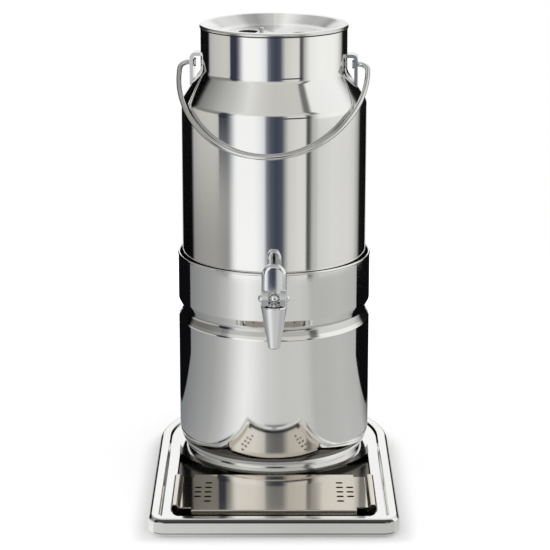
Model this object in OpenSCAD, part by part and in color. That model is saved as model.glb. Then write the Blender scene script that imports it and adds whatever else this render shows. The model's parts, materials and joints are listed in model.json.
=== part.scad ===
// Milk dispenser for a buffet: a polished can with a tap, lifted in and out of a stand.
// The stand is a pressed drip tray with a cooled sleeve on it. Millimetres, +Z up, the tap faces -Y.
// The origin is under the middle of the tray, at the height of the table.

/* [Tray] */
// Width of the deck that shows round the sleeve
seat_ledge = 8; // [4:0.5:16]
// Space from the front of the drip plate to the rim
front_ledge = 12.5; // [8:0.5:30]
// Height of the tray from the lower edge of its skirt to the rim
tray_h = 14; // [11:0.5:20]
// Thickness of the tray's sheet
tray_sheet = 1.2; // [0.8:0.1:2]
// Outer radius of the two front corners
tray_corner = 14; // [13:0.5:24]
// Width of the raised rim
rim_w = 9; // [6:0.5:11]
// How far the deck lies below the rim
rim_step = 2; // [1:0.1:3]
// Outer bend between the rim and the skirt
rim_bend = 4; // [2:0.5:5]
// Width of the fold under the skirt
hem_w = 16; // [14.5:0.5:20]
// Width of the deck at each side of the drip well
well_ledge = 9; // [5:0.5:20]
// Depth of the drip well below the deck
well_depth = 5; // [3:0.5:6]
// Radius of the well's front corners
well_corner = 10; // [4:1:20]
// Diameter of a rubber foot
foot_d = 14; // [10:0.5:16]
// How far the feet hold the skirt off the table
foot_h = 2; // [1:0.5:4]
// Diameter of the neck of a foot
foot_neck_d = 4.8; // [3:0.2:6]

/* [Drip plate] */
// Depth of the plate from front to back
plate_d = 85; // [60:1:95]
// Thickness of the plate's sheet
plate_sheet = 1; // [0.8:0.1:1.5]
// How far the plate reaches over the edge of the well at each side
plate_lap = 2; // [1.5:0.1:4]
// Width of the rolled side edges
roll_w = 15; // [10:0.5:20]
// Height of the rolled side edges over the plate
roll_h = 2.6; // [1.5:0.1:5]
// How far the rolled edges stop short of the plate's corners
roll_setback = 6.5; // [0:0.5:12]
// Length of a drain slot
drain_l = 6.5; // [4:0.5:9]
// Width of a drain slot
drain_w = 3.6; // [2:0.2:5]
// Step between the rows of drain slots
drain_pitch = 10.7; // [7:0.1:12]
// Distance of the outer slots' middle from the edge of the plate's flat part
drain_edge = 4.2; // [4:0.1:30]
// Step between the inner and outer slots
drain_step = 9; // [7.5:0.5:10]

/* [Sleeve] */
// Gap between the can and the sleeve
sleeve_gap = 2.8; // [2:0.1:3.4]
// Height of the sleeve over the deck
sleeve_h = 184; // [170:1:210]
// Thickness of the sleeve's sheet
sleeve_sheet = 1.2; // [0.8:0.1:1.6]
// Height over which the sleeve's foot draws in
heel_h = 18; // [12:1:24]
// Radius of that drawn-in foot
heel_r = 28; // [26:1:40]
// Height of the rolled groove's middle over the deck
groove_z = 132; // [110:1:140]
// Depth of the rolled groove
groove_depth = 4; // [3.5:0.1:5]
// Radius of the rolled groove on the outside
groove_r = 7; // [6:0.5:9]
// Gap at each side of the tap in the slot that it drops into
slot_gap = 0.5; // [0.4:0.1:3]
// Distance of the screws that hold the sleeve from the sleeve's outside
screw_inset = 16; // [14:0.5:20]
// Diameter of these screws
screw_d = 5; // [4:0.5:6]

/* [Cold pack] */
// Gap between the cold pack and the heads of the sleeve's screws
pack_gap = 4.5; // [2:0.5:20]
// Space between the cold pack and the can
pack_headroom = 11.7; // [4:0.1:60]
// Diameter of its filling cap
pack_cap_d = 34; // [24:1:44]

/* [Can] */
// Outer diameter of the can
can_d = 168; // [150:0.5:190]
// Thickness of the can's sheet
can_wall = 1.2; // [0.8:0.1:1.6]
// Bend between the can's bottom and its wall
can_corner = 8; // [6:0.5:12]
// Height from the bottom of the can to the lower bend of the shoulder
shoulder_z = 193.4; // [160:0.2:205]
// Height of the shoulder
shoulder_h = 27.2; // [20:0.2:34]
// Bends at both ends of the shoulder
shoulder_bend = 10; // [4:0.5:12]
// How far the shoulder draws in to the neck
shoulder_in = 17.7; // [15:0.1:25]
// Height of the neck over the shoulder
neck_h = 37.8; // [30:0.1:50]

/* [Lid] */
// How far the lid's flange stands out over the neck
flange_lap = 0.7; // [0.3:0.1:2]
// Height of the flange over the can's mouth
flange_h = 2.6; // [2.2:0.1:5]
// Width of the flange
flange_w = 6.2; // [5:0.1:8]
// Depth of the dish in the lid
recess_h = 8.5; // [5:0.5:14]
// Width of the dish's sloping side
recess_run = 15; // [8:0.5:24]
// Thickness of the lid's sheet
lid_sheet = 1; // [0.8:0.1:1.4]
// Length of a finger well in the lid
finger_l = 21; // [18:1:32]
// Width of a finger well
finger_w = 16; // [12:0.5:18]
// Depth of a finger well
finger_h = 9; // [4:0.5:12]
// Distance between the middles of the finger wells
finger_gap = 49; // [36:0.5:56]
// Turn of the lid on the can
lid_turn = 14.5; // [0:0.5:90]
// Diameter of the vent stud
vent_d = 5; // [4:0.5:8]

/* [Bail] */
// Diameter of the bail's wire
wire_d = 4.5; // [3.5:0.1:5]
// How much longer than the can's radius the bail is, from its pivots to the middle of the bow
bail_reach = 26.4; // [24:0.2:40]
// How much tighter than the can the middle of the bow is bent
bow_draw = 10; // [6:0.5:14]
// Half the angle that the middle of the bow takes up
bow_half = 45; // [42:0.5:48]
// Bend at the ends of the bail
bail_bend = 8; // [5:0.5:9]
// Straight length between that bend and the bow
leg_l = 3; // [1:0.5:6]
// Height of the pivots over the lower end of the neck
pivot_z = 5.6; // [4:0.2:10]
// Turn of the line through the pivots, away from square to the tap
ear_turn = 5; // [0:0.5:8]
// Width of an ear
ear_w = 14; // [10:0.5:20]
// Thickness of an ear
ear_sheet = 3; // [2:0.1:3.5]
// Height of an ear's top over the pivot
ear_top = 9.5; // [8:0.5:12]

/* [Tap] */
// Height of the tap's shank over the can's bottom
tap_z = 21.2; // [20.5:0.1:30]
// Gap between the spout and the sleeve
spout_gap = 10.1; // [8:0.1:20]
// Diameter of the threaded shank
shank_d = 16; // [14:0.5:17]
// Diameter of the shank's bore
shank_bore = 10; // [7:0.5:11]
// Diameter of the flange that clamps the outer washer
tap_flange_d = 21; // [18:0.5:21]
// Diameter of the spout at its top
spout_top_d = 23.8; // [21.5:0.2:28]
// Diameter of the spout at its tip
spout_tip_d = 12.4; // [11:0.2:15]
// Length of the spout below the shank
spout_l = 28.5; // [24:0.5:36]
// Diameter of the outlet
outlet_d = 8.4; // [6:0.2:9]
// Diameter of the valve chamber
chamber_d = 14; // [13:0.2:15]
// Height of the valve seat over the spout's tip
seat_z = 12; // [11:0.5:15]
// Thickness of the bonnet's flange
bonnet_h = 2; // [1.5:0.1:4]
// Diameter of the valve stem
stem_d = 4.8; // [4:0.2:5.4]
// Diameter of the ball on the stem
ball_d = 9.6; // [8:0.2:10.4]
// Diameter of the lever's pin
pin_d = 3; // [2:0.1:3.4]
// Height of the lever's pin over the bonnet
cam_h = 6; // [5.5:0.1:7]
// Lift of the stem for one radian of the lever
cam_lift = 5; // [3:0.1:5.5]
// Furthest tilt of the lever in degrees
lever_tilt = 40; // [25:1:45]
// Width of the lever
lever_w = 21; // [18:0.5:26]
// Thickness of the lever's paddle
lever_t = 9; // [7:0.5:11]
// Height of the paddle's top over the pin
lever_l = 31; // [24:0.5:40]
// Diameter of the spring's wire
spring_wire = 0.9; // [0.7:0.1:1.1]
// Number of the spring's curls
spring_turns = 5; // [3:0.5:6]

/* [Fits] */
// Gap where a loose piece rests on its seat
rest_gap = 0.3; // [0.2:0.05:0.5]
// Running gap round pins and in sliding guides
run_gap = 0.1; // [0.05:0.01:0.1]
// Gap round pieces that are fixed together
snug_gap = 0.03; // [0.02:0.01:0.05]

/* [Hidden] */

$fn = 96;
bend_steps = 8;
over = 1;
weld_gap = 0.05;

// Sizes that follow from the can
can_r = can_d / 2;
neck_r = can_r - shoulder_in;
sleeve_r = can_r + sleeve_gap + sleeve_sheet;
sleeve_d = 2 * sleeve_r;
rim_run = rim_step;
deck_inset = rim_w + rim_run;
seat_r = sleeve_r + seat_ledge;
plate_gap = 3.5;
tray_w = 2 * (seat_r + deck_inset);
tray_l = tray_w / 2 + seat_r + plate_gap + plate_d + front_ledge + deck_inset;

// Levels and places of the tray
tray_r = tray_w / 2;
front_y = -tray_l / 2;
axis_y = tray_l / 2 - tray_r;
rim_z = foot_h + tray_h;
deck_z = rim_z - rim_step;
well_z = deck_z - well_depth;
rim_small_bend = 1.6;
hem_bend = 1.8;
deck_lap = 1;
well_w = tray_w - 2 * (deck_inset + well_ledge);
well_front_gap = 1;
well_front_y = front_y + deck_inset + well_front_gap;
foot_inset = hem_w / 2 + 0.4;
foot_front_y = front_y + 26;
foot_back_angle = 50;
foot_head_d = foot_neck_d + 3.4;
foot_head_h = 2;

// Places of the drip plate
plate_w = well_w + 2 * plate_lap;
plate_z = deck_z + rest_gap;
plate_back_y = axis_y - seat_r - plate_gap;
plate_front_y = plate_back_y - plate_d;
roll_outer_bend = 3.4;
roll_inner_bend = 5;
roll_foot_run = 3;
plate_flat_w = plate_w - 2 * (roll_w + roll_foot_run);
drain_x = plate_flat_w / 2 - drain_edge - drain_step;
drain_rows = [5, 3];

// Levels and places of the sleeve
slot_w = tap_flange_d + 2 * slot_gap;
screw_circle_r = sleeve_r - screw_inset;
sleeve_top_z = deck_z + sleeve_h;
lip_r = 1.1;
groove_mid_z = deck_z + groove_z;
groove_mid_r = sleeve_r - groove_depth + groove_r;
groove_inner_r = groove_r + sleeve_sheet;
screw_gap = 0.2;
screw_head_d = 1.8 * screw_d;
screw_head_h = 0.6 * screw_d;
nut_h = 0.8 * screw_d;
nut_d = 1.8 * screw_d;
screw_count = 3;
screw_first_angle = 90;
screw_tail = 1.5;
pack_z = deck_z + sleeve_sheet;
pack_d = 2 * (screw_circle_r - screw_head_d / 2 - pack_gap);
pack_corner = 10;
pack_recess_h = 12;
pack_recess_d = 1.6 * pack_cap_d;
pack_rib_pitch = 20;
pack_rib_depth = 2;

// Levels and places of the can, which rests with its lower bend on the inside of the groove
can_bend_r = can_r - can_corner;
rest_reach = can_corner + groove_inner_r + rest_gap;
can_z = groove_mid_z + sqrt(pow(rest_reach, 2) - pow(groove_mid_r - can_bend_r, 2)) - can_corner;
shoulder_low_z = can_z + shoulder_z;
neck_low_z = shoulder_low_z + shoulder_h;
mouth_z = neck_low_z + neck_h;
pack_h = can_z - pack_headroom - pack_z;
seam_step = 1;
low_seam_z = can_z + can_corner + seam_step;
seam_z = shoulder_low_z - shoulder_bend * tan(atan(shoulder_in / shoulder_h) / 2) - seam_step;
can_bottom_path = [
    [0, can_z, 0],
    [can_r, can_z, can_corner],
    [can_r, low_seam_z, 0]
];
can_neck_path = [
    [can_r, seam_z + weld_gap, 0],
    [can_r, shoulder_low_z, shoulder_bend],
    [neck_r, neck_low_z, shoulder_bend],
    [neck_r, mouth_z, 0]
];

// Levels of the lid
seal_h = 0.9;
lid_top_z = mouth_z + rest_gap + seal_h + flange_h;
flange_r = neck_r + flange_lap;
recess_r = flange_r - flange_w;
recess_z = lid_top_z - recess_h;
lid_path = [
    [0, recess_z, 0],
    [recess_r - recess_run, recess_z, 16],
    [recess_r, lid_top_z, 2.4],
    [flange_r, lid_top_z, 2],
    [flange_r, lid_top_z - flange_h, 0]
];
plug_r = recess_r + lid_sheet;
seal_top_z = lid_top_z - lid_sheet - snug_gap;
seal_drop = 7;
seal_low_z = mouth_z - seal_drop;
seal_fin_h = 1.6;
vent_x = -11.4;
vent_h = 4;

// Places of the bail, which leans with its bow against the can
pivot_abs_z = neck_low_z + pivot_z;
wire_r = wire_d / 2;
bail_l = can_r + bail_reach;
bow_r = can_r - bow_draw;
side_r = bow_r + (bail_l - bow_r - bail_bend - leg_l) / cos(bow_half);
bail_lean = asin((can_r + wire_r + rest_gap) / bail_l);
side_mid = (side_r - bow_r) * sin(bow_half);
side_mid_t = bail_bend + leg_l;
leg_s = side_r - side_mid;
ear_gap = 1;
ear_s = leg_s - bail_bend - ear_gap;
ear_z = pivot_abs_z + ear_top;
ear_bend = 5;
bail_head_d = wire_d + 3.5;
bail_head_h = 1.8;
bow_lap = 0.4;
leg_lap = 0.3;
lap_step = 0.02;

// Levels and places of the tap
tap_reach = sleeve_r + spout_gap + spout_top_d / 2;
shank_z = can_z + tap_z;
shank_r = shank_d / 2;
tip_z = shank_z - spout_l;
body_top_z = shank_z + shank_r + 0.2;
valve_z = tip_z + seat_z;
seat_cone_h = (chamber_d - outlet_d) / 2;
bonnet_z = body_top_z + bonnet_h;
bonnet_plug_h = 2;
pin_z = bonnet_z + cam_h + rest_gap;
washer_t = 3.5;
flange_y = can_r + washer_t;
tap_flange_t = 2.5;
inner_washer_t = 4;
shank_end_y = can_r - can_wall - 16;
shank_nut_d = 24;
shank_nut_t = 7;
cheek_gap = 0.3;
cheek_x = ball_d / 2 + cheek_gap;
paddle_z = pin_z + cam_h + 1;
paddle_corner = 7;
paddle_edge = 3.5;
pin_head_d = 2.4 * pin_d;
pin_head_l = 3.6;
seal_gap = 0.3;
plug_d = chamber_d - 2.4;
plug_h = 6;
plug_z = valve_z + seat_cone_h * (plug_d - outlet_d) / (chamber_d - outlet_d) + seal_gap;
spring_low_z = plug_z + plug_h + seal_gap;
spring_top_z = body_top_z - bonnet_plug_h - seal_gap;
spring_r = (stem_d / 2 + chamber_d / 2) / 2;
curl_rings = 8;
wire_sides = 6;

// A sheet bent along a path of points [across, up, bend radius], as the outline of its section

function unit(v) = v / norm(v);

function flat(p) = [p[0], p[1]];

function left_of(v) = [-v[1], v[0]];

function reversed(list) = [for (i = [len(list) - 1:-1:0]) list[i]];

function arc_pts(mid, r, from, sweep) =
    [for (k = [0:bend_steps]) mid + r * [cos(from + sweep * k / bend_steps), sin(from + sweep * k / bend_steps)]];

// Points of one bend of a path that is moved to its left by off
function bend_pts(path, i, off) =
    let(
        a = unit(flat(path[i]) - flat(path[i - 1])),
        b = unit(flat(path[i + 1]) - flat(path[i])),
        turn = sign(cross(a, b)),
        angle = acos(min(1, max(-1, a * b))),
        corner = flat(path[i]) + off * (left_of(a) + left_of(b)) / (1 + a * b),
        r = path[i][2] - turn * off,
        mid = corner - a * r * tan(angle / 2) + left_of(a) * turn * r,
        spoke = -left_of(a) * turn
    )
    path[i][2] == 0 || r <= 0 ? [corner] : arc_pts(mid, r, atan2(spoke[1], spoke[0]), turn * angle);

function path_pts(path, off = 0) =
    let(
        last = len(path) - 1,
        a = unit(flat(path[1]) - flat(path[0])),
        b = unit(flat(path[last]) - flat(path[last - 1]))
    )
    concat(
        [flat(path[0]) + off * left_of(a)],
        [for (i = [1:last - 1]) each bend_pts(path, i, off)],
        [flat(path[last]) + off * left_of(b)]
    );

module sheet_section(path, off) {
    polygon(concat(path_pts(path), reversed(path_pts(path, off))));
}

// A slot outline with round ends, l long over all, along X
module slot_outline(l, w) {
    square([l - w, w], center = true);
    for (side = [-1, 1]) {
        translate([side * (l - w) / 2, 0])
            circle(d = w);
    }
}

// A rod along the line of the tap, from y = -near to y = -far
module tap_rod(r, near, far) {
    translate([0, -near, shank_z])
        rotate([90, 0, 0])
            cylinder(r = r, h = far - near);
}

module on_axis() {
    translate([0, axis_y, 0])
        children();
}

// Tray

module tray_outline(inset) {
    w = tray_r - inset;
    corner = tray_corner - inset;
    y = front_y + inset;
    translate([0, axis_y])
        circle(r = w, $fn = 180);
    translate([-w, y + max(corner, 0)])
        square([2 * w, axis_y - y - max(corner, 0)]);
    if (corner > 0) {
        translate([corner - w, y])
            square([2 * (w - corner), axis_y - y]);
        for (side = [-1, 1]) {
            translate([side * (w - corner), y + corner])
                circle(r = corner);
        }
    }
}

module well_outline(grow) {
    w = well_w / 2 + grow;
    corner = well_corner + grow;
    y = well_front_y - grow;
    difference() {
        union() {
            translate([-w, y + corner])
                square([2 * w, axis_y - y - corner]);
            translate([corner - w, y])
                square([2 * (w - corner), axis_y - y]);
            for (side = [-1, 1]) {
                translate([side * (w - corner), y + corner])
                    circle(r = corner);
            }
        }
        translate([0, axis_y])
            circle(r = seat_r - grow, $fn = 180);
    }
}

// Section through rim, skirt and hem, with the skirt's face at 0
module rim_section() {
    sheet_section([
        [-deck_inset - deck_lap, deck_z, 0],
        [-deck_inset, deck_z, rim_small_bend],
        [-rim_w, rim_z, rim_small_bend],
        [0, rim_z, rim_bend],
        [0, foot_h, hem_bend],
        [-hem_w, foot_h, 0]
    ], -tray_sheet);
}

module rim() {
    on_axis()
        rotate_extrude(angle = 180, $fn = 180)
            translate([tray_r, 0])
                rim_section();
    for (side = [0, 1]) {
        mirror([side, 0, 0]) {
            translate([tray_r, axis_y, 0])
                rotate([90, 0, 0])
                    linear_extrude(axis_y - front_y - tray_corner)
                        rim_section();
            translate([tray_r - tray_corner, front_y + tray_corner, 0])
                rotate([0, 0, -90])
                    rotate_extrude(angle = 90)
                        difference() {
                            translate([tray_corner, 0])
                                rim_section();
                            translate([-tray_w, 0])
                                square([tray_w, rim_z + over]);
                        }
        }
    }
    translate([tray_r - tray_corner, front_y, 0])
        rotate([0, 0, -90])
            rotate([90, 0, 0])
                linear_extrude(tray_w - 2 * tray_corner)
                    rim_section();
}

module at_feet() {
    for (side = [-1, 1]) {
        translate([side * (tray_r - foot_inset), foot_front_y, 0])
            children();
        on_axis()
            rotate([0, 0, 90 + side * (90 - foot_back_angle)])
                translate([tray_r - foot_inset, 0, 0])
                    children();
    }
}

module at_screws() {
    on_axis()
        for (i = [0:screw_count - 1]) {
            rotate([0, 0, screw_first_angle + i * 360 / screw_count])
                translate([screw_circle_r, 0, 0])
                    children();
        }
}

module base_tray() {
    color("silver")
        difference() {
            union() {
                rim();
                translate([0, 0, deck_z - tray_sheet])
                    linear_extrude(tray_sheet)
                        difference() {
                            tray_outline(deck_inset);
                            well_outline(0);
                        }
                translate([0, 0, well_z - tray_sheet])
                    linear_extrude(tray_sheet)
                        well_outline(tray_sheet);
                translate([0, 0, well_z - tray_sheet])
                    linear_extrude(well_depth + tray_sheet)
                        difference() {
                            well_outline(tray_sheet);
                            well_outline(0);
                        }
            }
            at_screws()
                translate([0, 0, deck_z - tray_sheet - over])
                    cylinder(d = screw_d + 2 * screw_gap, h = tray_sheet + 2 * over);
            at_feet()
                translate([0, 0, foot_h - over])
                    cylinder(d = foot_neck_d + 2 * snug_gap, h = tray_sheet + 2 * over);
        }
}

module tray_feet() {
    color("dimgray")
        at_feet()
            rotate_extrude()
                polygon([
                    [0, 0],
                    [foot_d / 2 - 0.6, 0],
                    [foot_d / 2, 0.6],
                    [foot_d / 2, foot_h],
                    [foot_neck_d / 2, foot_h],
                    [foot_neck_d / 2, foot_h + tray_sheet],
                    [foot_head_d / 2, foot_h + tray_sheet],
                    [foot_neck_d / 2, foot_h + tray_sheet + foot_head_h],
                    [0, foot_h + tray_sheet + foot_head_h]
                ]);
}

// Drip plate

module plate_section() {
    edge = plate_w / 2;
    top = plate_z + plate_sheet;
    right = [
        [edge - roll_w - roll_foot_run, top, roll_inner_bend],
        [edge - roll_w + roll_foot_run, top + roll_h, roll_inner_bend],
        [edge, top + roll_h, roll_outer_bend],
        [edge, plate_z, 0]
    ];
    left = [for (p = reversed(right)) [-p[0], p[1], p[2]]];
    sheet_section(concat(left, right), -plate_sheet);
}

module drip_plate() {
    color("gainsboro")
        difference() {
            translate([0, plate_back_y, 0])
                rotate([90, 0, 0])
                    linear_extrude(plate_d)
                        plate_section();
            for (side = [-1, 1]) {
                for (y = [plate_front_y, plate_back_y]) {
                    translate([side * plate_w / 2, y, plate_z])
                        cube([plate_w - plate_flat_w, 2 * roll_setback, 4 * (roll_h + plate_sheet)], center = true);
                }
                for (column = [0:len(drain_rows) - 1]) {
                    for (row = [0:drain_rows[column] - 1]) {
                        translate([
                            side * (drain_x + column * drain_step),
                            (plate_front_y + plate_back_y) / 2 + (row - (drain_rows[column] - 1) / 2) * drain_pitch,
                            plate_z - over
                        ])
                            linear_extrude(plate_sheet + 2 * over)
                                slot_outline(drain_l, drain_w, $fn = 32);
                    }
                }
            }
        }
}

// Sleeve and what it holds

// Half of the sleeve's outer form, drawn in by inset
module sleeve_form(inset) {
    r = sleeve_r - inset;
    low = deck_z + inset;
    bend_z = deck_z + heel_h;
    translate([0, bend_z])
        square([r, sleeve_h]);
    intersection() {
        translate([0, low])
            square([r, bend_z - low]);
        union() {
            translate([sleeve_r - heel_r, bend_z])
                circle(r = heel_r - inset, $fn = 180);
            translate([0, low])
                square([sleeve_r - heel_r, bend_z - low]);
        }
    }
}

module sleeve_section() {
    difference() {
        difference() {
            sleeve_form(0);
            translate([groove_mid_r, groove_mid_z])
                circle(r = groove_r);
            translate([0, sleeve_top_z])
                square([sleeve_d, sleeve_h]);
        }
        difference() {
            sleeve_form(sleeve_sheet);
            translate([groove_mid_r, groove_mid_z])
                circle(r = groove_inner_r);
        }
    }
    translate([sleeve_r - sleeve_sheet / 2, sleeve_top_z - lip_r / 2])
        circle(r = lip_r, $fn = 32);
}

module stand_sleeve() {
    color("lightgray")
        difference() {
            on_axis()
                rotate_extrude($fn = 180)
                    sleeve_section();
            on_axis() {
                translate([-slot_w / 2, -sleeve_d, shank_z])
                    cube([slot_w, sleeve_d, sleeve_top_z - shank_z + 2 * lip_r]);
                tap_rod(slot_w / 2, 0, sleeve_d);
            }
            at_screws()
                translate([0, 0, deck_z - over])
                    cylinder(d = screw_d + 2 * screw_gap, h = sleeve_sheet + 2 * over);
        }
}

module sleeve_screws() {
    head_z = deck_z + sleeve_sheet;
    tail_z = deck_z - tray_sheet - nut_h - screw_tail;
    color("darkgray")
        at_screws() {
            difference() {
                union() {
                    translate([0, 0, tail_z])
                        cylinder(d = screw_d, h = head_z - tail_z + over);
                    translate([0, 0, head_z])
                        cylinder(d = screw_head_d, h = screw_head_h);
                }
                translate([0, 0, head_z + screw_head_h / 2])
                    cylinder(d = screw_d / 2, h = screw_head_h, $fn = 6);
            }
        }
}

module sleeve_nuts() {
    color("darkgray")
        at_screws()
            translate([0, 0, deck_z - tray_sheet - nut_h])
                difference() {
                    cylinder(d = nut_d, h = nut_h, $fn = 6);
                    translate([0, 0, -over])
                        cylinder(d = screw_d + 2 * snug_gap, h = nut_h + 2 * over);
                }
}

module cold_pack() {
    r = pack_d / 2;
    top = pack_z + pack_h;
    color("aliceblue")
        on_axis()
            difference() {
                rotate_extrude()
                    polygon(concat(
                        [[0, pack_z]],
                        arc_pts([r - pack_corner, pack_z + pack_corner], pack_corner, -90, 90),
                        arc_pts([r - pack_corner, top - pack_corner], pack_corner, 0, 90),
                        [[0, top]]
                    ));
                translate([0, 0, top - pack_recess_h])
                    cylinder(d = pack_recess_d, h = pack_recess_h + over);
                for (i = [-1:1]) {
                    translate([0, 0, pack_z + pack_h / 2 + i * pack_rib_pitch])
                        rotate_extrude()
                            translate([r + pack_rib_depth, 0])
                                circle(r = 2 * pack_rib_depth, $fn = 32);
                }
            }
}

module pack_cap() {
    cap_z = pack_z + pack_h - pack_recess_h;
    color("steelblue")
        on_axis()
            translate([0, 0, cap_z])
                difference() {
                    cylinder(d = pack_cap_d, h = pack_recess_h - 2);
                    for (side = [-1, 1]) {
                        translate([0, side * pack_cap_d / 4, pack_recess_h / 2])
                            linear_extrude(pack_recess_h)
                                slot_outline(pack_cap_d * 0.6, pack_cap_d / 5, $fn = 32);
                    }
                }
}

// Can

module can_bottom() {
    color("gainsboro")
        on_axis()
            rotate_extrude($fn = 180)
                sheet_section(can_bottom_path, can_wall);
}

// The wall is rolled and welded to the bottom
module can_wall_tube() {
    color("gainsboro")
        on_axis()
            difference() {
                rotate_extrude($fn = 180)
                    translate([can_r - can_wall, low_seam_z + weld_gap])
                        square([can_wall, seam_z - low_seam_z - weld_gap]);
                tap_rod(shank_r + snug_gap, 0, can_d);
            }
}

// Shoulder and neck are spun in one piece and welded to the wall
module can_neck() {
    color("gainsboro")
        on_axis()
            rotate_extrude($fn = 180)
                sheet_section(can_neck_path, can_wall);
}

// The can's upper part as a full solid, grown by a small gap, for trimming what is welded to it
module can_solid(grow) {
    rotate_extrude($fn = 180)
        polygon(concat([[0, seam_z]], path_pts(can_neck_path, -grow), [[0, mouth_z]]));
}

module ear() {
    color("silver")
        on_axis()
            rotate([0, 0, -ear_turn])
                difference() {
                    translate([0, ear_w / 2, 0])
                        rotate([90, 0, 0])
                            linear_extrude(ear_w)
                                sheet_section([
                                    [neck_r - over, ear_z, 0],
                                    [ear_s, ear_z, ear_bend],
                                    [ear_s, shoulder_low_z, 0]
                                ], -ear_sheet);
                    can_solid(weld_gap);
                    translate([0, 0, pivot_abs_z])
                        rotate([0, 90, 0])
                            cylinder(r = wire_r + run_gap, h = can_d);
                }
}

module ear_right() {
    ear();
}

module ear_left() {
    on_axis()
        rotate([0, 0, 180])
            translate([0, -axis_y, 0])
                ear();
}

// The bail in its own plane: X along the pivots, Y from the pivots to the bow
module bail_side() {
    head_s = ear_s - ear_sheet - rest_gap;
    translate([-side_mid, side_mid_t, 0])
        rotate_extrude(angle = 90 - bow_half, $fn = 180)
            translate([side_r, 0])
                circle(r = wire_r, $fn = 32);
    translate([leg_s, side_mid_t + leg_lap, 0])
        rotate([90, 0, 0])
            cylinder(r = wire_r + lap_step, h = leg_l + 2 * leg_lap, $fn = 32);
    translate([leg_s - bail_bend, bail_bend, 0])
        rotate([0, 0, -90])
            rotate_extrude(angle = 90)
                translate([bail_bend, 0])
                    circle(r = wire_r, $fn = 32);
    translate([head_s - bail_head_h, 0, 0])
        rotate([0, 90, 0]) {
            cylinder(r = wire_r, h = leg_s - bail_bend - head_s + bail_head_h, $fn = 32);
            cylinder(d = bail_head_d, h = bail_head_h, $fn = 32);
        }
}

// The middle of the bow is a hair thinner than the sides and laps into them, as the sides do in the legs
module bail_bow() {
    half = bow_half + bow_lap;
    translate([0, bail_l - bow_r, 0])
        rotate([0, 0, 90 - half])
            rotate_extrude(angle = 2 * half, $fn = 180)
                translate([bow_r, 0])
                    circle(r = wire_r - lap_step, $fn = 32);
}

module bail() {
    color("silver")
        on_axis()
            rotate([0, 0, -ear_turn])
                translate([0, 0, pivot_abs_z])
                    rotate([-90 - bail_lean, 0, 0]) {
                        bail_bow();
                        for (side = [0, 1]) {
                            mirror([side, 0, 0])
                                bail_side();
                        }
                    }
}

// Lid

module at_finger_wells() {
    rotate([0, 0, -lid_turn])
        for (side = [-1, 1]) {
            translate([side * finger_gap / 2, 0, 0])
                rotate([0, 0, 90])
                    children();
        }
}

module at_vent() {
    rotate([0, 0, -lid_turn])
        translate([vent_x, 0, recess_z])
            children();
}

module lid() {
    color("gainsboro")
        on_axis()
            difference() {
                union() {
                    rotate_extrude($fn = 180)
                        sheet_section(lid_path, -lid_sheet);
                    at_finger_wells()
                        translate([0, 0, recess_z - finger_h - lid_sheet])
                            linear_extrude(finger_h + lid_sheet)
                                slot_outline(finger_l + 2 * lid_sheet, finger_w + 2 * lid_sheet);
                }
                at_finger_wells()
                    translate([0, 0, recess_z - finger_h])
                        linear_extrude(finger_h + over)
                            slot_outline(finger_l, finger_w);
                at_vent()
                    translate([0, 0, -lid_sheet - over])
                        cylinder(d = vent_d / 2 + 2 * snug_gap, h = lid_sheet + 2 * over);
            }
}

module lid_seal() {
    inner = plug_r + snug_gap;
    outer = neck_r - can_wall - rest_gap;
    color("whitesmoke")
        on_axis()
            rotate_extrude($fn = 180)
                polygon([
                    [inner + 2.4, seal_top_z],
                    [inner, seal_top_z - 2.4],
                    [inner, seal_low_z],
                    [inner + 1.4, seal_low_z],
                    [outer, seal_low_z + seal_fin_h],
                    [inner + 1.4, seal_low_z + 2 * seal_fin_h],
                    [inner + 1.4, mouth_z + rest_gap - 1],
                    [outer, mouth_z + rest_gap],
                    [neck_r, mouth_z + rest_gap],
                    [neck_r, mouth_z + rest_gap + seal_h],
                    [flange_r - lid_sheet - snug_gap, mouth_z + rest_gap + seal_h],
                    [flange_r - lid_sheet - snug_gap, seal_top_z - 2]
                ]);
}

module vent_stud() {
    color("silver")
        on_axis()
            at_vent()
                rotate_extrude($fn = 32)
                    polygon([
                        [0, -lid_sheet - 1.2],
                        [vent_d / 2, -lid_sheet - 1.2],
                        [vent_d / 2, -lid_sheet],
                        [vent_d / 4, -lid_sheet],
                        [vent_d / 4, 0],
                        [vent_d / 3, 0],
                        [vent_d / 3, vent_h / 2 - 0.6],
                        [vent_d / 2, vent_h / 2],
                        [vent_d / 2, vent_h - 0.6],
                        [vent_d / 2 - 0.6, vent_h],
                        [0, vent_h]
                    ]);
}

// Tap

module at_spout() {
    translate([0, axis_y - tap_reach, 0])
        children();
}

module tap_body() {
    color("silver")
        difference() {
            union() {
                at_spout()
                    translate([0, 0, tip_z])
                        cylinder(d1 = spout_tip_d, d2 = spout_top_d, h = body_top_z - tip_z);
                on_axis() {
                    tap_rod(shank_r, shank_end_y, tap_reach);
                    tap_rod(tap_flange_d / 2, flange_y, flange_y + tap_flange_t);
                }
            }
            at_spout() {
                translate([0, 0, tip_z - over])
                    cylinder(d = outlet_d, h = seat_z + 2 * over);
                translate([0, 0, valve_z])
                    cylinder(d1 = outlet_d, d2 = chamber_d, h = seat_cone_h);
                translate([0, 0, valve_z + seat_cone_h])
                    cylinder(d = chamber_d, h = body_top_z - valve_z);
            }
            on_axis()
                tap_rod(shank_bore / 2, shank_end_y - over, tap_reach);
        }
}

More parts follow.
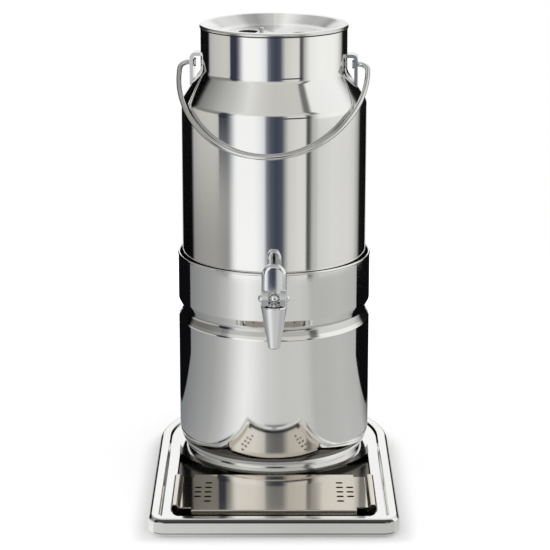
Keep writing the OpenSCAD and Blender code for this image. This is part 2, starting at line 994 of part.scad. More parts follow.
module tap_bonnet() {
    color("silver")
        at_spout()
            difference() {
                union() {
                    translate([0, 0, body_top_z - bonnet_plug_h])
                        cylinder(d = chamber_d - 2 * snug_gap, h = bonnet_plug_h + over);
                    translate([0, 0, body_top_z])
                        cylinder(d1 = spout_top_d, d2 = spout_top_d - 1, h = bonnet_h);
                }
                translate([0, 0, body_top_z - bonnet_plug_h - over])
                    cylinder(d = stem_d + 2 * run_gap, h = bonnet_plug_h + bonnet_h + 2 * over);
            }
}

module outer_washer() {
    color("whitesmoke")
        on_axis()
            difference() {
                tap_rod(tap_flange_d / 2, can_bend_r, flange_y);
                tap_rod(shank_r + snug_gap, 0, can_d);
                translate([0, 0, can_z])
                    cylinder(r = can_r + weld_gap, h = shoulder_z, $fn = 180);
            }
}

module inner_washer() {
    inner_r = can_r - can_wall;
    color("whitesmoke")
        on_axis()
            difference() {
                intersection() {
                    tap_rod(tap_flange_d / 2, inner_r - inner_washer_t, can_r);
                    translate([0, 0, can_z])
                        cylinder(r = inner_r - weld_gap, h = shoulder_z, $fn = 180);
                }
                tap_rod(shank_r + snug_gap, 0, can_d);
            }
}

module shank_nut() {
    back = can_r - can_wall - inner_washer_t;
    color("silver")
        on_axis()
            difference() {
                translate([0, -back + shank_nut_t, shank_z])
                    rotate([90, 0, 0])
                        cylinder(d = shank_nut_d, h = shank_nut_t, $fn = 6);
                tap_rod(shank_r + snug_gap, 0, can_d);
            }
}

module valve_stem() {
    color("silver")
        at_spout()
            difference() {
                union() {
                    translate([0, 0, plug_z + 1])
                        cylinder(d = stem_d, h = pin_z - plug_z - 1);
                    translate([0, 0, pin_z])
                        sphere(d = ball_d);
                }
                translate([-ball_d, 0, pin_z])
                    rotate([0, 90, 0])
                        cylinder(d = pin_d + 2 * run_gap, h = 2 * ball_d);
            }
}

module valve_seal() {
    tip_d = outlet_d - 0.8;
    color("whitesmoke")
        at_spout()
            difference() {
                union() {
                    translate([0, 0, plug_z - (plug_d - tip_d) / 2])
                        cylinder(d1 = tip_d, d2 = plug_d, h = (plug_d - tip_d) / 2);
                    translate([0, 0, plug_z])
                        cylinder(d = plug_d, h = plug_h);
                }
                translate([0, 0, plug_z + 1])
                    cylinder(d = stem_d + 2 * snug_gap, h = plug_h);
            }
}

// Spring: one tube wound on the stem, closed at both ends

spring_rings = ceil(spring_turns * curl_rings);
spring_rise = spring_top_z - spring_low_z - spring_wire;

function spring_mid(i) =
    let(angle = 360 * spring_turns * i / spring_rings)
    [spring_r * cos(angle), spring_r * sin(angle), spring_low_z + spring_wire / 2 + spring_rise * i / spring_rings];

function spring_ring(i) =
    let(
        angle = 360 * spring_turns * i / spring_rings,
        out = [cos(angle), sin(angle), 0]
    )
    [for (k = [0:wire_sides - 1])
        spring_mid(i) + spring_wire / 2 * (cos(360 * k / wire_sides) * out + sin(360 * k / wire_sides) * [0, 0, 1])];

spring_points = [for (i = [0:spring_rings]) each spring_ring(i)];

spring_faces = concat(
    [for (k = [1:wire_sides - 2]) [0, k + 1, k]],
    [for (i = [0:spring_rings - 1]) for (k = [0:wire_sides - 1])
        let(a = i * wire_sides + k, b = i * wire_sides + (k + 1) % wire_sides)
        each [[a, b, a + wire_sides], [b, b + wire_sides, a + wire_sides]]],
    [for (k = [1:wire_sides - 2])
        [spring_rings * wire_sides, spring_rings * wire_sides + k, spring_rings * wire_sides + k + 1]]
);

// Least gap between a curl and the ones above it
spring_gap = min([
    for (i = [0:spring_rings - curl_rings / 2]) for (j = [i + curl_rings / 2:spring_rings])
        norm(spring_mid(i) - spring_mid(j)) - spring_wire
]);

module valve_spring() {
    echo(least_spring_gap = spring_gap);
    color("darkgray")
        at_spout()
            polyhedron(spring_points, spring_faces);
}

// Foot of the lever: its edge is an involute, so the stem rises in proportion to the tilt
function cam_pt(angle) =
    let(reach = cam_h + cam_lift * angle * PI / 180)
    reach * [-sin(angle), -cos(angle)] + cam_lift * [-cos(angle), sin(angle)];

module cheek_outline() {
    circle(r = cam_h);
    translate([-lever_t / 2, 0])
        square([lever_t, paddle_z - pin_z + over]);
    polygon(concat(
        [[0, 0], [0, -cam_h]],
        [for (k = [0:bend_steps]) cam_pt(lever_tilt * k / bend_steps)],
        [[-lever_t / 2, 0]]
    ));
}

module paddle() {
    half = lever_w / 2;
    top = pin_z + lever_l;
    intersection() {
        translate([0, 0, paddle_z])
            linear_extrude(top - paddle_z)
                slot_outline(lever_w, lever_t);
        translate([0, lever_t, 0])
            rotate([90, 0, 0])
                linear_extrude(2 * lever_t)
                    union() {
                        translate([-half, paddle_z])
                            square([lever_w, top - paddle_corner - paddle_z]);
                        translate([paddle_corner - half, paddle_z])
                            square([lever_w - 2 * paddle_corner, top - paddle_z]);
                        for (side = [-1, 1]) {
                            translate([side * (half - paddle_corner), top - paddle_corner])
                                circle(r = paddle_corner);
                        }
                    }
        rotate([90, 0, 90])
            translate([0, 0, -half])
                linear_extrude(lever_w)
                    union() {
                        translate([-lever_t / 2, paddle_z])
                            square([lever_t, top - paddle_edge - paddle_z]);
                        translate([paddle_edge - lever_t / 2, paddle_z])
                            square([lever_t - 2 * paddle_edge, top - paddle_z]);
                        for (side = [-1, 1]) {
                            translate([side * (lever_t / 2 - paddle_edge), top - paddle_edge])
                                circle(r = paddle_edge);
                        }
                    }
    }
}

module tap_lever() {
    cheek_t = lever_w / 2 - cheek_x;
    color("silver")
        at_spout()
            difference() {
                union() {
                    paddle();
                    for (side = [cheek_x, -lever_w / 2]) {
                        translate([side, 0, pin_z])
                            rotate([90, 0, 90])
                                linear_extrude(cheek_t)
                                    cheek_outline();
                    }
                }
                translate([-lever_w, 0, pin_z])
                    rotate([0, 90, 0])
                        cylinder(d = pin_d + 2 * snug_gap, h = 2 * lever_w);
            }
}

module lever_pin() {
    end = lever_w / 2 + snug_gap;
    color("silver")
        at_spout()
            translate([0, 0, pin_z]) {
                translate([-end - over, 0, 0])
                    rotate([0, 90, 0])
                        cylinder(d = pin_d, h = 2 * (end + over));
                for (side = [-1, 1]) {
                    rotate([0, side * 90, 0])
                        translate([0, 0, end])
                            rotate_extrude()
                                intersection() {
                                    square([pin_head_d / 2, pin_head_l]);
                                    translate([0, pin_head_l - pin_head_d / 2])
                                        circle(d = pin_head_d);
                                }
                }
            }
}

base_tray();
tray_feet();
drip_plate();
stand_sleeve();
sleeve_screws();
sleeve_nuts();
cold_pack();
pack_cap();
can_bottom();
can_wall_tube();
can_neck();
ear_left();
ear_right();
bail();
lid();
lid_seal();
vent_stud();
tap_body();
tap_bonnet();
outer_washer();
inner_washer();
shank_nut();
valve_stem();
valve_seal();
valve_spring();
tap_lever();
lever_pin();
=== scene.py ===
"""Looks of a buffet milk dispenser: polished can, cooled sleeve, drip tray, bail, lid and lever tap."""

import json
from math import acos, asin, cos, degrees, pi, radians, sin, sqrt, tan

import bmesh
import bpy
from bpy.props import FloatProperty, FloatVectorProperty, IntProperty, PointerProperty
from bpy.types import Operator, Panel, PropertyGroup
from mathutils import Matrix, Vector


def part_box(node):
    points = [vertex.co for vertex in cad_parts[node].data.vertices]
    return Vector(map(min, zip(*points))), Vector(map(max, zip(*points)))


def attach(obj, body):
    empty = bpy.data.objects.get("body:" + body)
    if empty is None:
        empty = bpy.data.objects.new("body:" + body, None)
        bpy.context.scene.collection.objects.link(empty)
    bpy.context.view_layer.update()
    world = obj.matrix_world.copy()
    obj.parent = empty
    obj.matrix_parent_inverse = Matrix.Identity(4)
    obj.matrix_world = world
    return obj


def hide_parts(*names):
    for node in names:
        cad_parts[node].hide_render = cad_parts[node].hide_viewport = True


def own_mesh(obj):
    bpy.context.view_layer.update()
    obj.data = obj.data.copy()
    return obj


bl_info = {
    "name": "Milk Dispenser",
    "version": (1, 0, 0),
    "blender": (4, 5, 0),
    "location": "3D View > Sidebar > Dispenser",
    "description": "Builds the visible pieces of a milk dispenser round its packed solids",
    "category": "Add Mesh",
}

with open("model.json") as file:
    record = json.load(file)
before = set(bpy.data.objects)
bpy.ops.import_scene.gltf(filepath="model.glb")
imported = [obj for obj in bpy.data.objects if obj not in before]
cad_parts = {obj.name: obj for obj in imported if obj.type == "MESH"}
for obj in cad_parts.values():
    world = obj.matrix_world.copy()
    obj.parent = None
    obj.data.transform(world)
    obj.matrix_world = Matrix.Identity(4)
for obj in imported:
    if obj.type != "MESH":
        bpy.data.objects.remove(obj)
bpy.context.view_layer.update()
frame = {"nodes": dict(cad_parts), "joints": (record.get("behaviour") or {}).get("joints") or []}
MM = 0.001
NEAR = 1e-6  # points this close are one
FIT = 0.03 * MM  # clearance of parts that are pushed together
X, Y, Z = Vector((1, 0, 0)), Vector((0, 1, 0)), Vector((0, 0, 1))


def middle(node):
    """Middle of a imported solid's box, with the small steps of its facets rounded off."""
    low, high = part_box(node)
    x, y, z = (low + high) / 2
    return Vector((round(x, 4), round(y, 4), z))


AXIS = middle("cold_pack") * Vector((1, 1, 0))
CAN_LOW, LOW_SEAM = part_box("can_bottom")
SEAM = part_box("can_wall_tube")[1]
CAN_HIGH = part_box("can_neck")[1]
LID_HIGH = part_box("lid")[1]
TRAY_LOW, TRAY_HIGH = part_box("base_tray")
PLATE_LOW, PLATE_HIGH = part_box("drip_plate")
TAP_LOW, TAP_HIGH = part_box("tap_body")
SPOUT = middle("tap_bonnet") * Vector((1, 1, 0))
PIN = middle("lever_pin")


def size(name, description, mm):
    """A length property with its default in millimetres."""
    return FloatProperty(name=name, description=description, default=mm * MM, unit="LENGTH", precision=5)


def tint(name, description, rgb):
    """A colour property."""
    return FloatVectorProperty(name=name, description=description, default=rgb, subtype="COLOR", min=0, max=1)


def gloss(name, description, value):
    """A roughness property."""
    return FloatProperty(name=name, description=description, default=value, min=0, max=1, subtype="FACTOR")


def swing(name, description, angle):
    """An angle property with its default in degrees."""
    return FloatProperty(name=name, description=description, default=radians(angle), subtype="ANGLE")


class CanSizes(PropertyGroup):
    """Sizes of the can, its lid and its bail."""

    radius: size("Can radius", "Outside of the can", SEAM.x / MM)
    wall: size("Can wall", "Thickness of the can's sheet", 1.2)
    corner: size("Lower bend", "Bend between bottom and wall", 8)
    shoulder: size("Shoulder height", "From the can's bottom to the shoulder", 193.4)
    shoulder_rise: size("Shoulder rise", "Height of the shoulder", 27.2)
    shoulder_bend: size("Shoulder bends", "Bends at both ends of the shoulder", 10)
    neck: size("Neck radius", "Outside of the neck", 66.3)
    lid_sheet: size("Lid sheet", "Thickness of the lid", 1)
    lid_flange: size("Lid flange", "Height of the lid's flange", 2.6)
    lid_flange_width: size("Lid flange width", "Width of the lid's flange", 6.2)
    dish: size("Dish depth", "Depth of the dish in the lid", 8.5)
    dish_run: size("Dish side", "Width of the dish's sloping side", 15)
    dish_bend: size("Dish bend", "Bend between the dish's floor and its side", 16)
    finger_length: size("Finger well length", "Length of a finger well", 21)
    finger_width: size("Finger well width", "Width of a finger well", 16)
    finger_depth: size("Finger well depth", "Depth of a finger well", 9)
    finger_gap: size("Finger well distance", "Between the middles of the finger wells", 49)
    lid_turn: swing("Lid turn", "Turn of the lid", -14.5)
    wire: size("Wire", "Diameter of the bail's wire", 4.5)
    head: size("Head", "Thickness of the wire's heads", 1.8)
    head_edge: size("Head edge", "How far a head stands out round the wire", 1.75)
    bail_length: size("Bail length", "From the pivots to the middle of the bow", 110.4)
    bow: size("Bow radius", "Radius of the middle of the bow", 74)
    bow_half: swing("Bow half angle", "Half of the bow's middle", 45)
    bail_bend: size("Bail bend", "Bend at the ends of the bail", 8)
    bail_leg: size("Bail leg", "Straight length over that bend", 3)
    bail_turn: swing("Bail turn", "Turn of the pivot line", -5)
    ear_gap: size("Ear gap", "Between the ear and the bail's bend", 1)
    ear_sheet: size("Ear sheet", "Thickness of an ear", 3)
    play: size("Play", "Play between the bail and what it touches", 0.3)
    pivot: size("Pivot height", "From the lower end of the neck to the pivots", 5.6)


class StandSizes(PropertyGroup):
    """Sizes of the sleeve, the tray and the drip plate."""

    sleeve: size("Sleeve radius", "Outside of the sleeve", 88)
    sleeve_sheet: size("Sleeve sheet", "Thickness of the sleeve", 1.2)
    heel: size("Heel radius", "Radius of the drawn-in foot", 28)
    heel_rise: size("Heel height", "Height of the drawn-in foot", 18)
    groove_height: size("Groove height", "Middle of the groove over the deck", 132)
    groove_half: size("Groove half height", "Half of the groove with its bends", 9)
    groove_depth: size("Groove depth", "Depth of the groove before its bends", 4.8)
    lip: size("Lip radius", "Radius of the rolled lip", 1.1)
    slot_half: size("Slot half width", "Half of the tap's slot", 11)
    tray_sheet: size("Tray sheet", "Thickness of the tray", 1.2)
    tray_corner: size("Tray corner", "Radius of the front corners", 14)
    rim: size("Rim width", "Width of the raised rim", 9)
    rim_step: size("Rim step", "How far the deck lies below the rim", 2)
    rim_bend: size("Rim bend", "Bend between rim and skirt", 4)
    hem: size("Hem width", "Width of the fold under the skirt", 16)
    well_half: size("Well half width", "Half of the drip well", 87)
    well_depth: size("Well depth", "Depth of the drip well", 5)
    well_corner: size("Well corner", "Radius of the well's front corners", 10)
    well_front: size("Well front", "From the tray's front to the well", 12)
    plate_sheet: size("Plate sheet", "Thickness of the drip plate", 1)
    roll: size("Roll width", "Width of the rolled edges", 15)
    roll_setback: size("Roll setback", "How far the rolls stop short of the corners", 6.5)
    roll_foot: size("Roll foot", "From the plate's side to the inner foot of a roll", 8.2)
    roll_crest: size("Roll crest", "From the plate's side to the inner edge of a roll's crest", 5.4)
    plate_lip: size("Plate lip", "How far the plate's front and back edges turn down", 4)
    drain_length: size("Drain length", "Length of a drain slot", 6.5)
    drain_width: size("Drain width", "Width of a drain slot", 3.6)
    drain_pitch: size("Drain pitch", "Step between rows of slots", 10.7)
    drain_step: size("Drain step", "Step between columns of slots", 9)
    drain_edge: size("Drain edge", "From the outer slots to the edge of the flat part", 4.2)


class TapSizes(PropertyGroup):
    """Sizes of the tap."""

    top: size("Spout top", "Diameter of the spout's top", 23.8)
    tip: size("Spout tip", "Diameter of the spout's tip", 10.6)
    outlet: size("Outlet", "Diameter of the outlet", 8.4)
    seat: size("Valve seat", "Height of the seat over the tip", 12)
    chamber: size("Chamber", "Diameter of the valve chamber", 14)
    shank: size("Shank", "Diameter of the shank", 16)
    shank_bore: size("Shank bore", "Diameter of the shank's bore", 10)
    shank_height: size("Shank height", "From the tip to the shank", 28.5)
    flange: size("Flange", "Diameter of the flange", 21)
    flange_sheet: size("Flange thickness", "Thickness of the flange", 2.5)
    flange_reach: size("Flange reach", "From the can's axis to the flange", 87.5)
    stem: size("Stem", "Diameter of the valve stem", 4.8)
    ball: size("Ball", "Diameter of the stem's ball", 9.6)
    spring_wire: size("Spring wire", "Diameter of the valve spring's wire", 0.9)
    spring_turns: IntProperty(name="Spring turns", description="Curls of the valve spring", default=5, min=2)
    pin: size("Pin", "Diameter of the lever's pin", 3)
    pin_head: size("Pin head", "Diameter of the pin's heads", 7.2)
    lever_width: size("Lever width", "Width of the lever", 21)
    lever_sheet: size("Lever thickness", "Thickness of the lever", 9)
    lever_rise: size("Lever rise", "From the pin to the lever's top", 31)
    lever_corner: size("Lever corner", "Radius of the lever's top corners", 9)
    lever_edge: size("Lever edge", "Rounding of the lever's edges", 3.6)
    crown: size("Lever crown", "Radius of the lever's crowned front", 35)
    crown_shift: size("Crown shift", "How far the middle of the crown lies to the left", 2)
    cam: size("Cam height", "From the pin to the lever's foot", 6)
    cam_lift: size("Cam lift", "Lift for one radian", 5)
    cheek: size("Cheek", "From the middle to the inside of a cheek", 5.1)


class Finishes(PropertyGroup):
    """Colours and polish of the materials."""

    steel: tint("Steel", "Polished stainless steel", (0.90, 0.90, 0.89))
    steel_gloss: gloss("Steel roughness", "Roughness of the can", 0.06)
    tray_gloss: gloss("Tray roughness", "Roughness of the tray", 0.07)
    plate_gloss: gloss("Plate roughness", "Roughness of the drip plate", 0.06)
    wire_gloss: gloss("Wire roughness", "Roughness of the bail", 0.1)
    ear_gloss: gloss("Ear roughness", "Roughness of the ears and the vent stud", 0.14)
    stem_gloss: gloss("Stem roughness", "Roughness of the valve stem", 0.12)
    plain_gloss: gloss("Plain roughness", "Roughness of screws, nuts and the spring", 0.28)
    tap_gloss: gloss("Tap roughness", "Roughness of the tap", 0.05)
    lever_gloss: gloss("Lever roughness", "Roughness of the lever and its pin", 0.06)
    plate: tint("Plate steel", "Steel of the drip plate", (0.74, 0.69, 0.61))
    dish_gloss: gloss("Lid roughness", "Roughness of the lid's dish", 0.2)
    chrome: tint("Chrome", "Chrome of the tap", (0.84, 0.85, 0.86))
    rubber: tint("Rubber", "Rubber of the feet and the lid's seal", (0.03, 0.03, 0.03))
    silicone: tint("Silicone", "Silicone of the tap's washers and plug", (0.82, 0.82, 0.79))
    plastic: tint("Pack", "Plastic of the cold pack", (0.78, 0.84, 0.9))
    cap: tint("Cap", "Plastic of the pack's cap", (0.05, 0.16, 0.42))
    floor: tint("Floor", "Floor under the dispenser", (0.9, 0.9, 0.9))


# What the polished steel sees round it, by angle from the front in degrees

WALL_TONES = (
    (-180, 1.0), (-165, 1.0), (-162, 0.004), (-123, 0.004), (-117, (0.47, 0.47, 0.46)), (-102, (0.57, 0.56, 0.53)),
    (-80, (0.62, 0.61, 0.57)), (-58, (0.5, 0.5, 0.49)), (-51, (0.82, 0.83, 0.85)), (-46, 1.0), (-24, 1.0),
    (-17, (0.88, 0.89, 0.9)), (-12, (0.74, 0.76, 0.79)), (-9, (0.2, 0.215, 0.245)), (-4, (0.085, 0.1, 0.13)),
    (3, (0.05, 0.06, 0.085)), (10, (0.075, 0.085, 0.115)), (18, (0.65, 0.645, 0.62)), (30, (0.74, 0.73, 0.7)),
    (39, (0.75, 0.74, 0.71)), (41, 0.08), (44.5, 0.1), (48.5, (0.5, 0.5, 0.48)), (57, (0.88, 0.88, 0.86)),
    (78, (0.97, 0.97, 0.94)), (106, (0.96, 0.95, 0.92)), (117, (0.86, 0.85, 0.83)), (127, (0.5, 0.5, 0.49)),
    (133.5, 0.01), (162, 0.004), (165, 1.0),
)
HIGH_TONES = (
    (-180, 1.0), (-168, 0.9), (-150, 0.45), (-128, 0.3), (-100, (0.37, 0.37, 0.36)), (-70, (0.56, 0.56, 0.54)),
    (-45, (0.78, 0.78, 0.76)), (-20, (0.68, 0.67, 0.64)), (0, (0.62, 0.61, 0.58)), (46, (0.62, 0.61, 0.58)),
    (50, 0.17), (57, 0.19), (62, (0.9, 0.9, 0.88)), (115, 0.97), (131, 0.85), (150, 0.8), (168, 0.95),
)
FLOOR_TONES = (
    (-180, 1.0), (-165, 1.0), (-160, 0.2), (-130, (0.2, 0.22, 0.23)), (-112, (0.24, 0.25, 0.255)),
    (-92, (0.31, 0.315, 0.32)), (-70, (0.39, 0.39, 0.39)), (-55, 0.52), (-40, 0.8), (-31, 0.91), (-23, 0.85),
    (-8, (0.66, 0.66, 0.65)), (8, (0.59, 0.59, 0.575)), (28, (0.61, 0.61, 0.595)), (37, (0.57, 0.57, 0.555)),
    (43, (0.49, 0.49, 0.48)), (60, (0.5, 0.5, 0.49)), (78, (0.53, 0.53, 0.52)), (108, (0.48, 0.48, 0.47)),
    (124, 0.25), (140, 0.06), (160, 0.06), (165, 1.0),
)
# Painted highlights and shade on the lid's dish: shares of its tone, by angle from the front round its middle in
# degrees
LID_PAINTED_FAN = (
    (-180, 0.66), (-172, 0.55), (-163, 0.38), (-153, 0.5), (-143, 0.85), (-110, 1.0), (0, 0.9), (90, 0.8),
    (134, 0.85), (150, 0.9), (160, 1.0), (168, 1.0), (176, 0.76),
)

# Plain tones

WHITE = (1.0, 1.0, 1.0)
BLACK = (0.0, 0.0, 0.0)
ROOM_LIGHT = (0.95, 0.95, 0.95)
CEILING_FRONT = (0.36, 0.36, 0.36)
CEILING_BACK = (1.0, 1.0, 0.98)
GAP_DARK = (0.035, 0.04, 0.06)
FLOOR_DARK = (0.004, 0.004, 0.005)
# Tone of the painted shade in the lid's finger wells
WELL_PAINTED_SHADE = (0.02, 0.02, 0.02)
# Tone of the painted shade on the tray
TRAY_PAINTED_SHADE = (0.09, 0.085, 0.075)

# Shares of the steel's tone for wire with fasteners, and for the ears

WIRE_TONE = 0.85
EAR_TONE = 0.8

# Soft limits in the studio, by turn from the front and by rise over or fall under the horizon, in degrees

LEFT_FOOT = (10.5, 15.0)
LEFT_TOP = (4.0, 12.0)
LEFT_START = (-158.0, -150.0)
LEFT_END = (-62.0, -50.0)
RIGHT_START = (46.0, 54.0)
RIGHT_FOOT = (10.2, 11.2)
POST_TURN = (-73.0, -70.5, -62.0, -47.0)
POST_FOOT = (10.6, 14.0)
RAIL_TURN = (10.0, 13.0, 42.0, 45.0)
RAIL_RISE = (-8.2, -7.0, 2.0, 7.0)
CORNER_TURN = (-64.0, -58.0)
WALL_TOP = (14.0, 34.0)
CEILING_RISE = (52.0, 72.0)

# Soft limits on the floor in metres: its dark part behind the tray, and the shadow. The gap is in degrees

DARK_SKEW = 0.03
DARK_SPREAD = 0.55
DARK_BACK = (0.12, 0.13)
DARK_SIDE = (-0.09, -0.08)
DARK_RING = (0.185, 0.21)
DARK_GAP = (161.0, 165.0)
SHADOW_RING = (0.22, 0.42)
SHADOW_EDGE = (0.0, 0.02)

# Noise scale of the fine lines that a lathe leaves, close together upwards

LATHE_GRAIN = (3, 3, 900)

# The photograph's camera, placed from the can's axis on the floor, and the floor's paper

FRAME_PX = 550
FOCAL_PX = 2000
SHIFT_PX = 1
SENSOR_MM = 36
CAMERA_SPOT = Vector((0, -1.7827, 0.6655))
CAMERA_DIP = 15.43
FLOOR_RADIUS = 0.78
PAPER_WHITE = 1.37


# Shader maths


class Wire:
    """A shader socket that Python's operators work on."""

    def __init__(self, maker, socket):
        self.maker = maker
        self.socket = socket

    def __add__(self, other):
        return self.maker.math("ADD", self, other)

    __radd__ = __add__

    def __mul__(self, other):
        return self.maker.math("MULTIPLY", self, other)

    __rmul__ = __mul__

    def __sub__(self, other):
        return self.maker.math("SUBTRACT", self, other)

    def __rsub__(self, other):
        return self.maker.math("SUBTRACT", other, self)

    def __neg__(self):
        return self.maker.math("MULTIPLY", self, -1)


class Shader:
    """Makes and links the nodes of one material or world."""

    def __init__(self, tree):
        self.tree = tree
        tree.nodes.clear()

    def node(self, kind, settings=None, inputs=None, output=0):
        """Adds a node, sets it up, feeds its sockets and returns one of its outputs."""
        made = self.tree.nodes.new(kind)
        for key, value in (settings or {}).items():
            if key == "stops":
                ramp = made.color_ramp.elements
                while len(ramp) < len(value):
                    ramp.new(0.5)
                for element, (place, colour) in zip(ramp, value):
                    element.position = place
                    element.color = colour
            else:
                setattr(made, key, value)
        for key, value in (inputs or {}).items():
            if isinstance(value, Wire):
                self.tree.links.new(value.socket, made.inputs[key])
            else:
                made.inputs[key].default_value = value
        return Wire(self, made.outputs[output]) if made.outputs else None

    def math(self, operation, *values):
        return self.node("ShaderNodeMath", {"operation": operation}, dict(enumerate(values)))

    def most(self, first, *others):
        """The largest of some values."""
        for other in others:
            first = self.math("MAXIMUM", first, other)
        return first

    def hypot(self, a, b):
        """Length of a flat vector."""
        return self.math("SQRT", a * a + b * b)

    def bearing(self, x, y):
        """Angle from the front in degrees."""
        return self.math("ARCTAN2", x, -y) * degrees(1)

    def rise(self, value, start, end):
        """0 before start, 1 after end, smooth between them."""
        limits = {0: value, 1: start, 2: end, 3: 0.0, 4: 1.0}
        return self.node("ShaderNodeMapRange", {"interpolation_type": "SMOOTHSTEP"}, limits)

    def fall(self, value, start, end):
        """1 before start, 0 after end, smooth between them."""
        return 1 - self.rise(value, start, end)

    def band(self, value, start, full, fade, end):
        """1 between two places, with soft borders."""
        return self.rise(value, start, full) * self.fall(value, fade, end)

    def mix(self, factor, a, b, blend="MIX"):
        """Mixes two colours."""
        settings = {"data_type": "RGBA", "blend_type": blend}
        return self.node("ShaderNodeMix", settings, {0: factor, 6: rgba(a), 7: rgba(b)}, output=2)

    def blend(self, factor, a, b):
        """Mixes two shaders."""
        return self.node("ShaderNodeMixShader", inputs={0: factor, 1: a, 2: b})

    def ray(self, kind):
        """1 for one kind of ray."""
        return self.node("ShaderNodeLightPath", output=kind)

    def place(self):
        """Object coordinates."""
        return self.node("ShaderNodeTexCoord", output="Object")

    def parts(self, vector):
        """The three parts of a vector."""
        return [self.node("ShaderNodeSeparateXYZ", inputs={0: vector}, output=k) for k in range(3)]

    def noise(self, spot, scale, detail=2.0, stretch=None):
        """Soft noise on Object coordinates, stretched where asked."""
        if stretch:
            spot = self.node("ShaderNodeMapping", inputs={0: spot, 3: stretch})
        return self.node("ShaderNodeTexNoise", inputs={"Vector": spot, "Scale": scale, "Detail": detail})

    def bump(self, height, strength, distance):
        return self.node("ShaderNodeBump", inputs={"Strength": strength, "Distance": distance, "Height": height})

    def surface(self, inputs):
        """Ends the material with one Principled BSDF."""
        shader = self.node("ShaderNodeBsdfPrincipled", inputs=inputs)
        self.node("ShaderNodeOutputMaterial", inputs={"Surface": shader})


def rgba(colour):
    """A colour with its alpha, or a link as it is."""
    if isinstance(colour, Wire) or len(colour) == 4:
        return colour
    return (*colour, 1.0)


def ring_of_tones(s, turn, tones):
    """Grey or coloured tones round the dispenser, by angle from the front in degrees."""
    stops = []
    for angle, tone in tones:
        rgb = tone if isinstance(tone, tuple) else (tone, tone, tone)
        stops.append((angle / 360 + 0.5, rgba(rgb)))
    return s.node("ShaderNodeValToRGB", {"stops": stops}, {0: turn * (1 / 360) + 0.5})


def new_material(name):
    material = bpy.data.materials.new(name)
    material.use_nodes = True
    return material, Shader(material.node_tree)


def shade(colour, share):
    """A darker tone of a colour."""
    return [part * share for part in colour]


def polish(s, spot, colour, roughness):
    """Tone and roughness of polished steel, with faint haze and smears."""
    smear = s.noise(spot, 26.0, 3.0)
    haze = s.noise(spot, 7.0, 2.0)
    tone = s.mix(s.rise(haze, 0.35, 0.7), colour, shade(colour, 0.965))
    return tone, roughness * (0.75 + smear * 0.5)


def polished(name, colour, roughness, spun=False, painted_shade=None):
    """Polished steel, with lathe lines where it is spun, and a band of painted shade between two heights."""
    material, s = new_material(name)
    spot = s.place()
    tone, rough = polish(s, spot, colour, roughness)
    if painted_shade:
        low, high = painted_shade
        band = s.band(s.parts(spot)[2], low, low + MM, high, high + MM)
        tone = s.mix(band, tone, shade(colour, 0.72))
    inputs = {"Base Color": tone, "Metallic": 1.0, "Roughness": rough}
    if spun:
        inputs["Normal"] = s.bump(s.noise(spot, 1.0, 2.0, LATHE_GRAIN), 0.012, 0.0002)
    s.surface(inputs)
    return material


def satin_dish(name, colour, roughness, floor):
    """The lid's dish: spun lines round its middle on a softer polish, painted highlights and shade in wedges round
    its middle, and painted shade in the wells below its floor.
    """
    material, s = new_material(name)
    spot = s.place()
    x, y, z = s.parts(spot)
    across, along = x - AXIS.x, y - AXIS.y
    rings = {"W": s.hypot(across, along) * 2600, "Scale": 1.0, "Detail": 2.0}
    lines = s.node("ShaderNodeTexNoise", {"noise_dimensions": "1D"}, rings)
    tone = s.mix(s.noise(spot, 30.0, 3.0), colour, shade(colour, 0.95))
    # Painted highlights and shade in wedges round the dish's middle
    painted_fan = ring_of_tones(s, s.bearing(across, along), LID_PAINTED_FAN)
    # Painted shade in the finger wells: below the dish's floor it turns dark, less metallic and rougher
    inside = s.fall(z, floor - 0.45 * MM, floor - 0.1 * MM)
    s.surface({
        "Base Color": s.mix(inside, s.mix(1.0, tone, painted_fan, "MULTIPLY"), WELL_PAINTED_SHADE),
        "Metallic": 1.0 - inside,
        "Roughness": roughness * (0.8 + lines * 0.4) + inside * 0.3,
        "Normal": s.bump(lines, 0.06, 0.0002),
    })
    return material


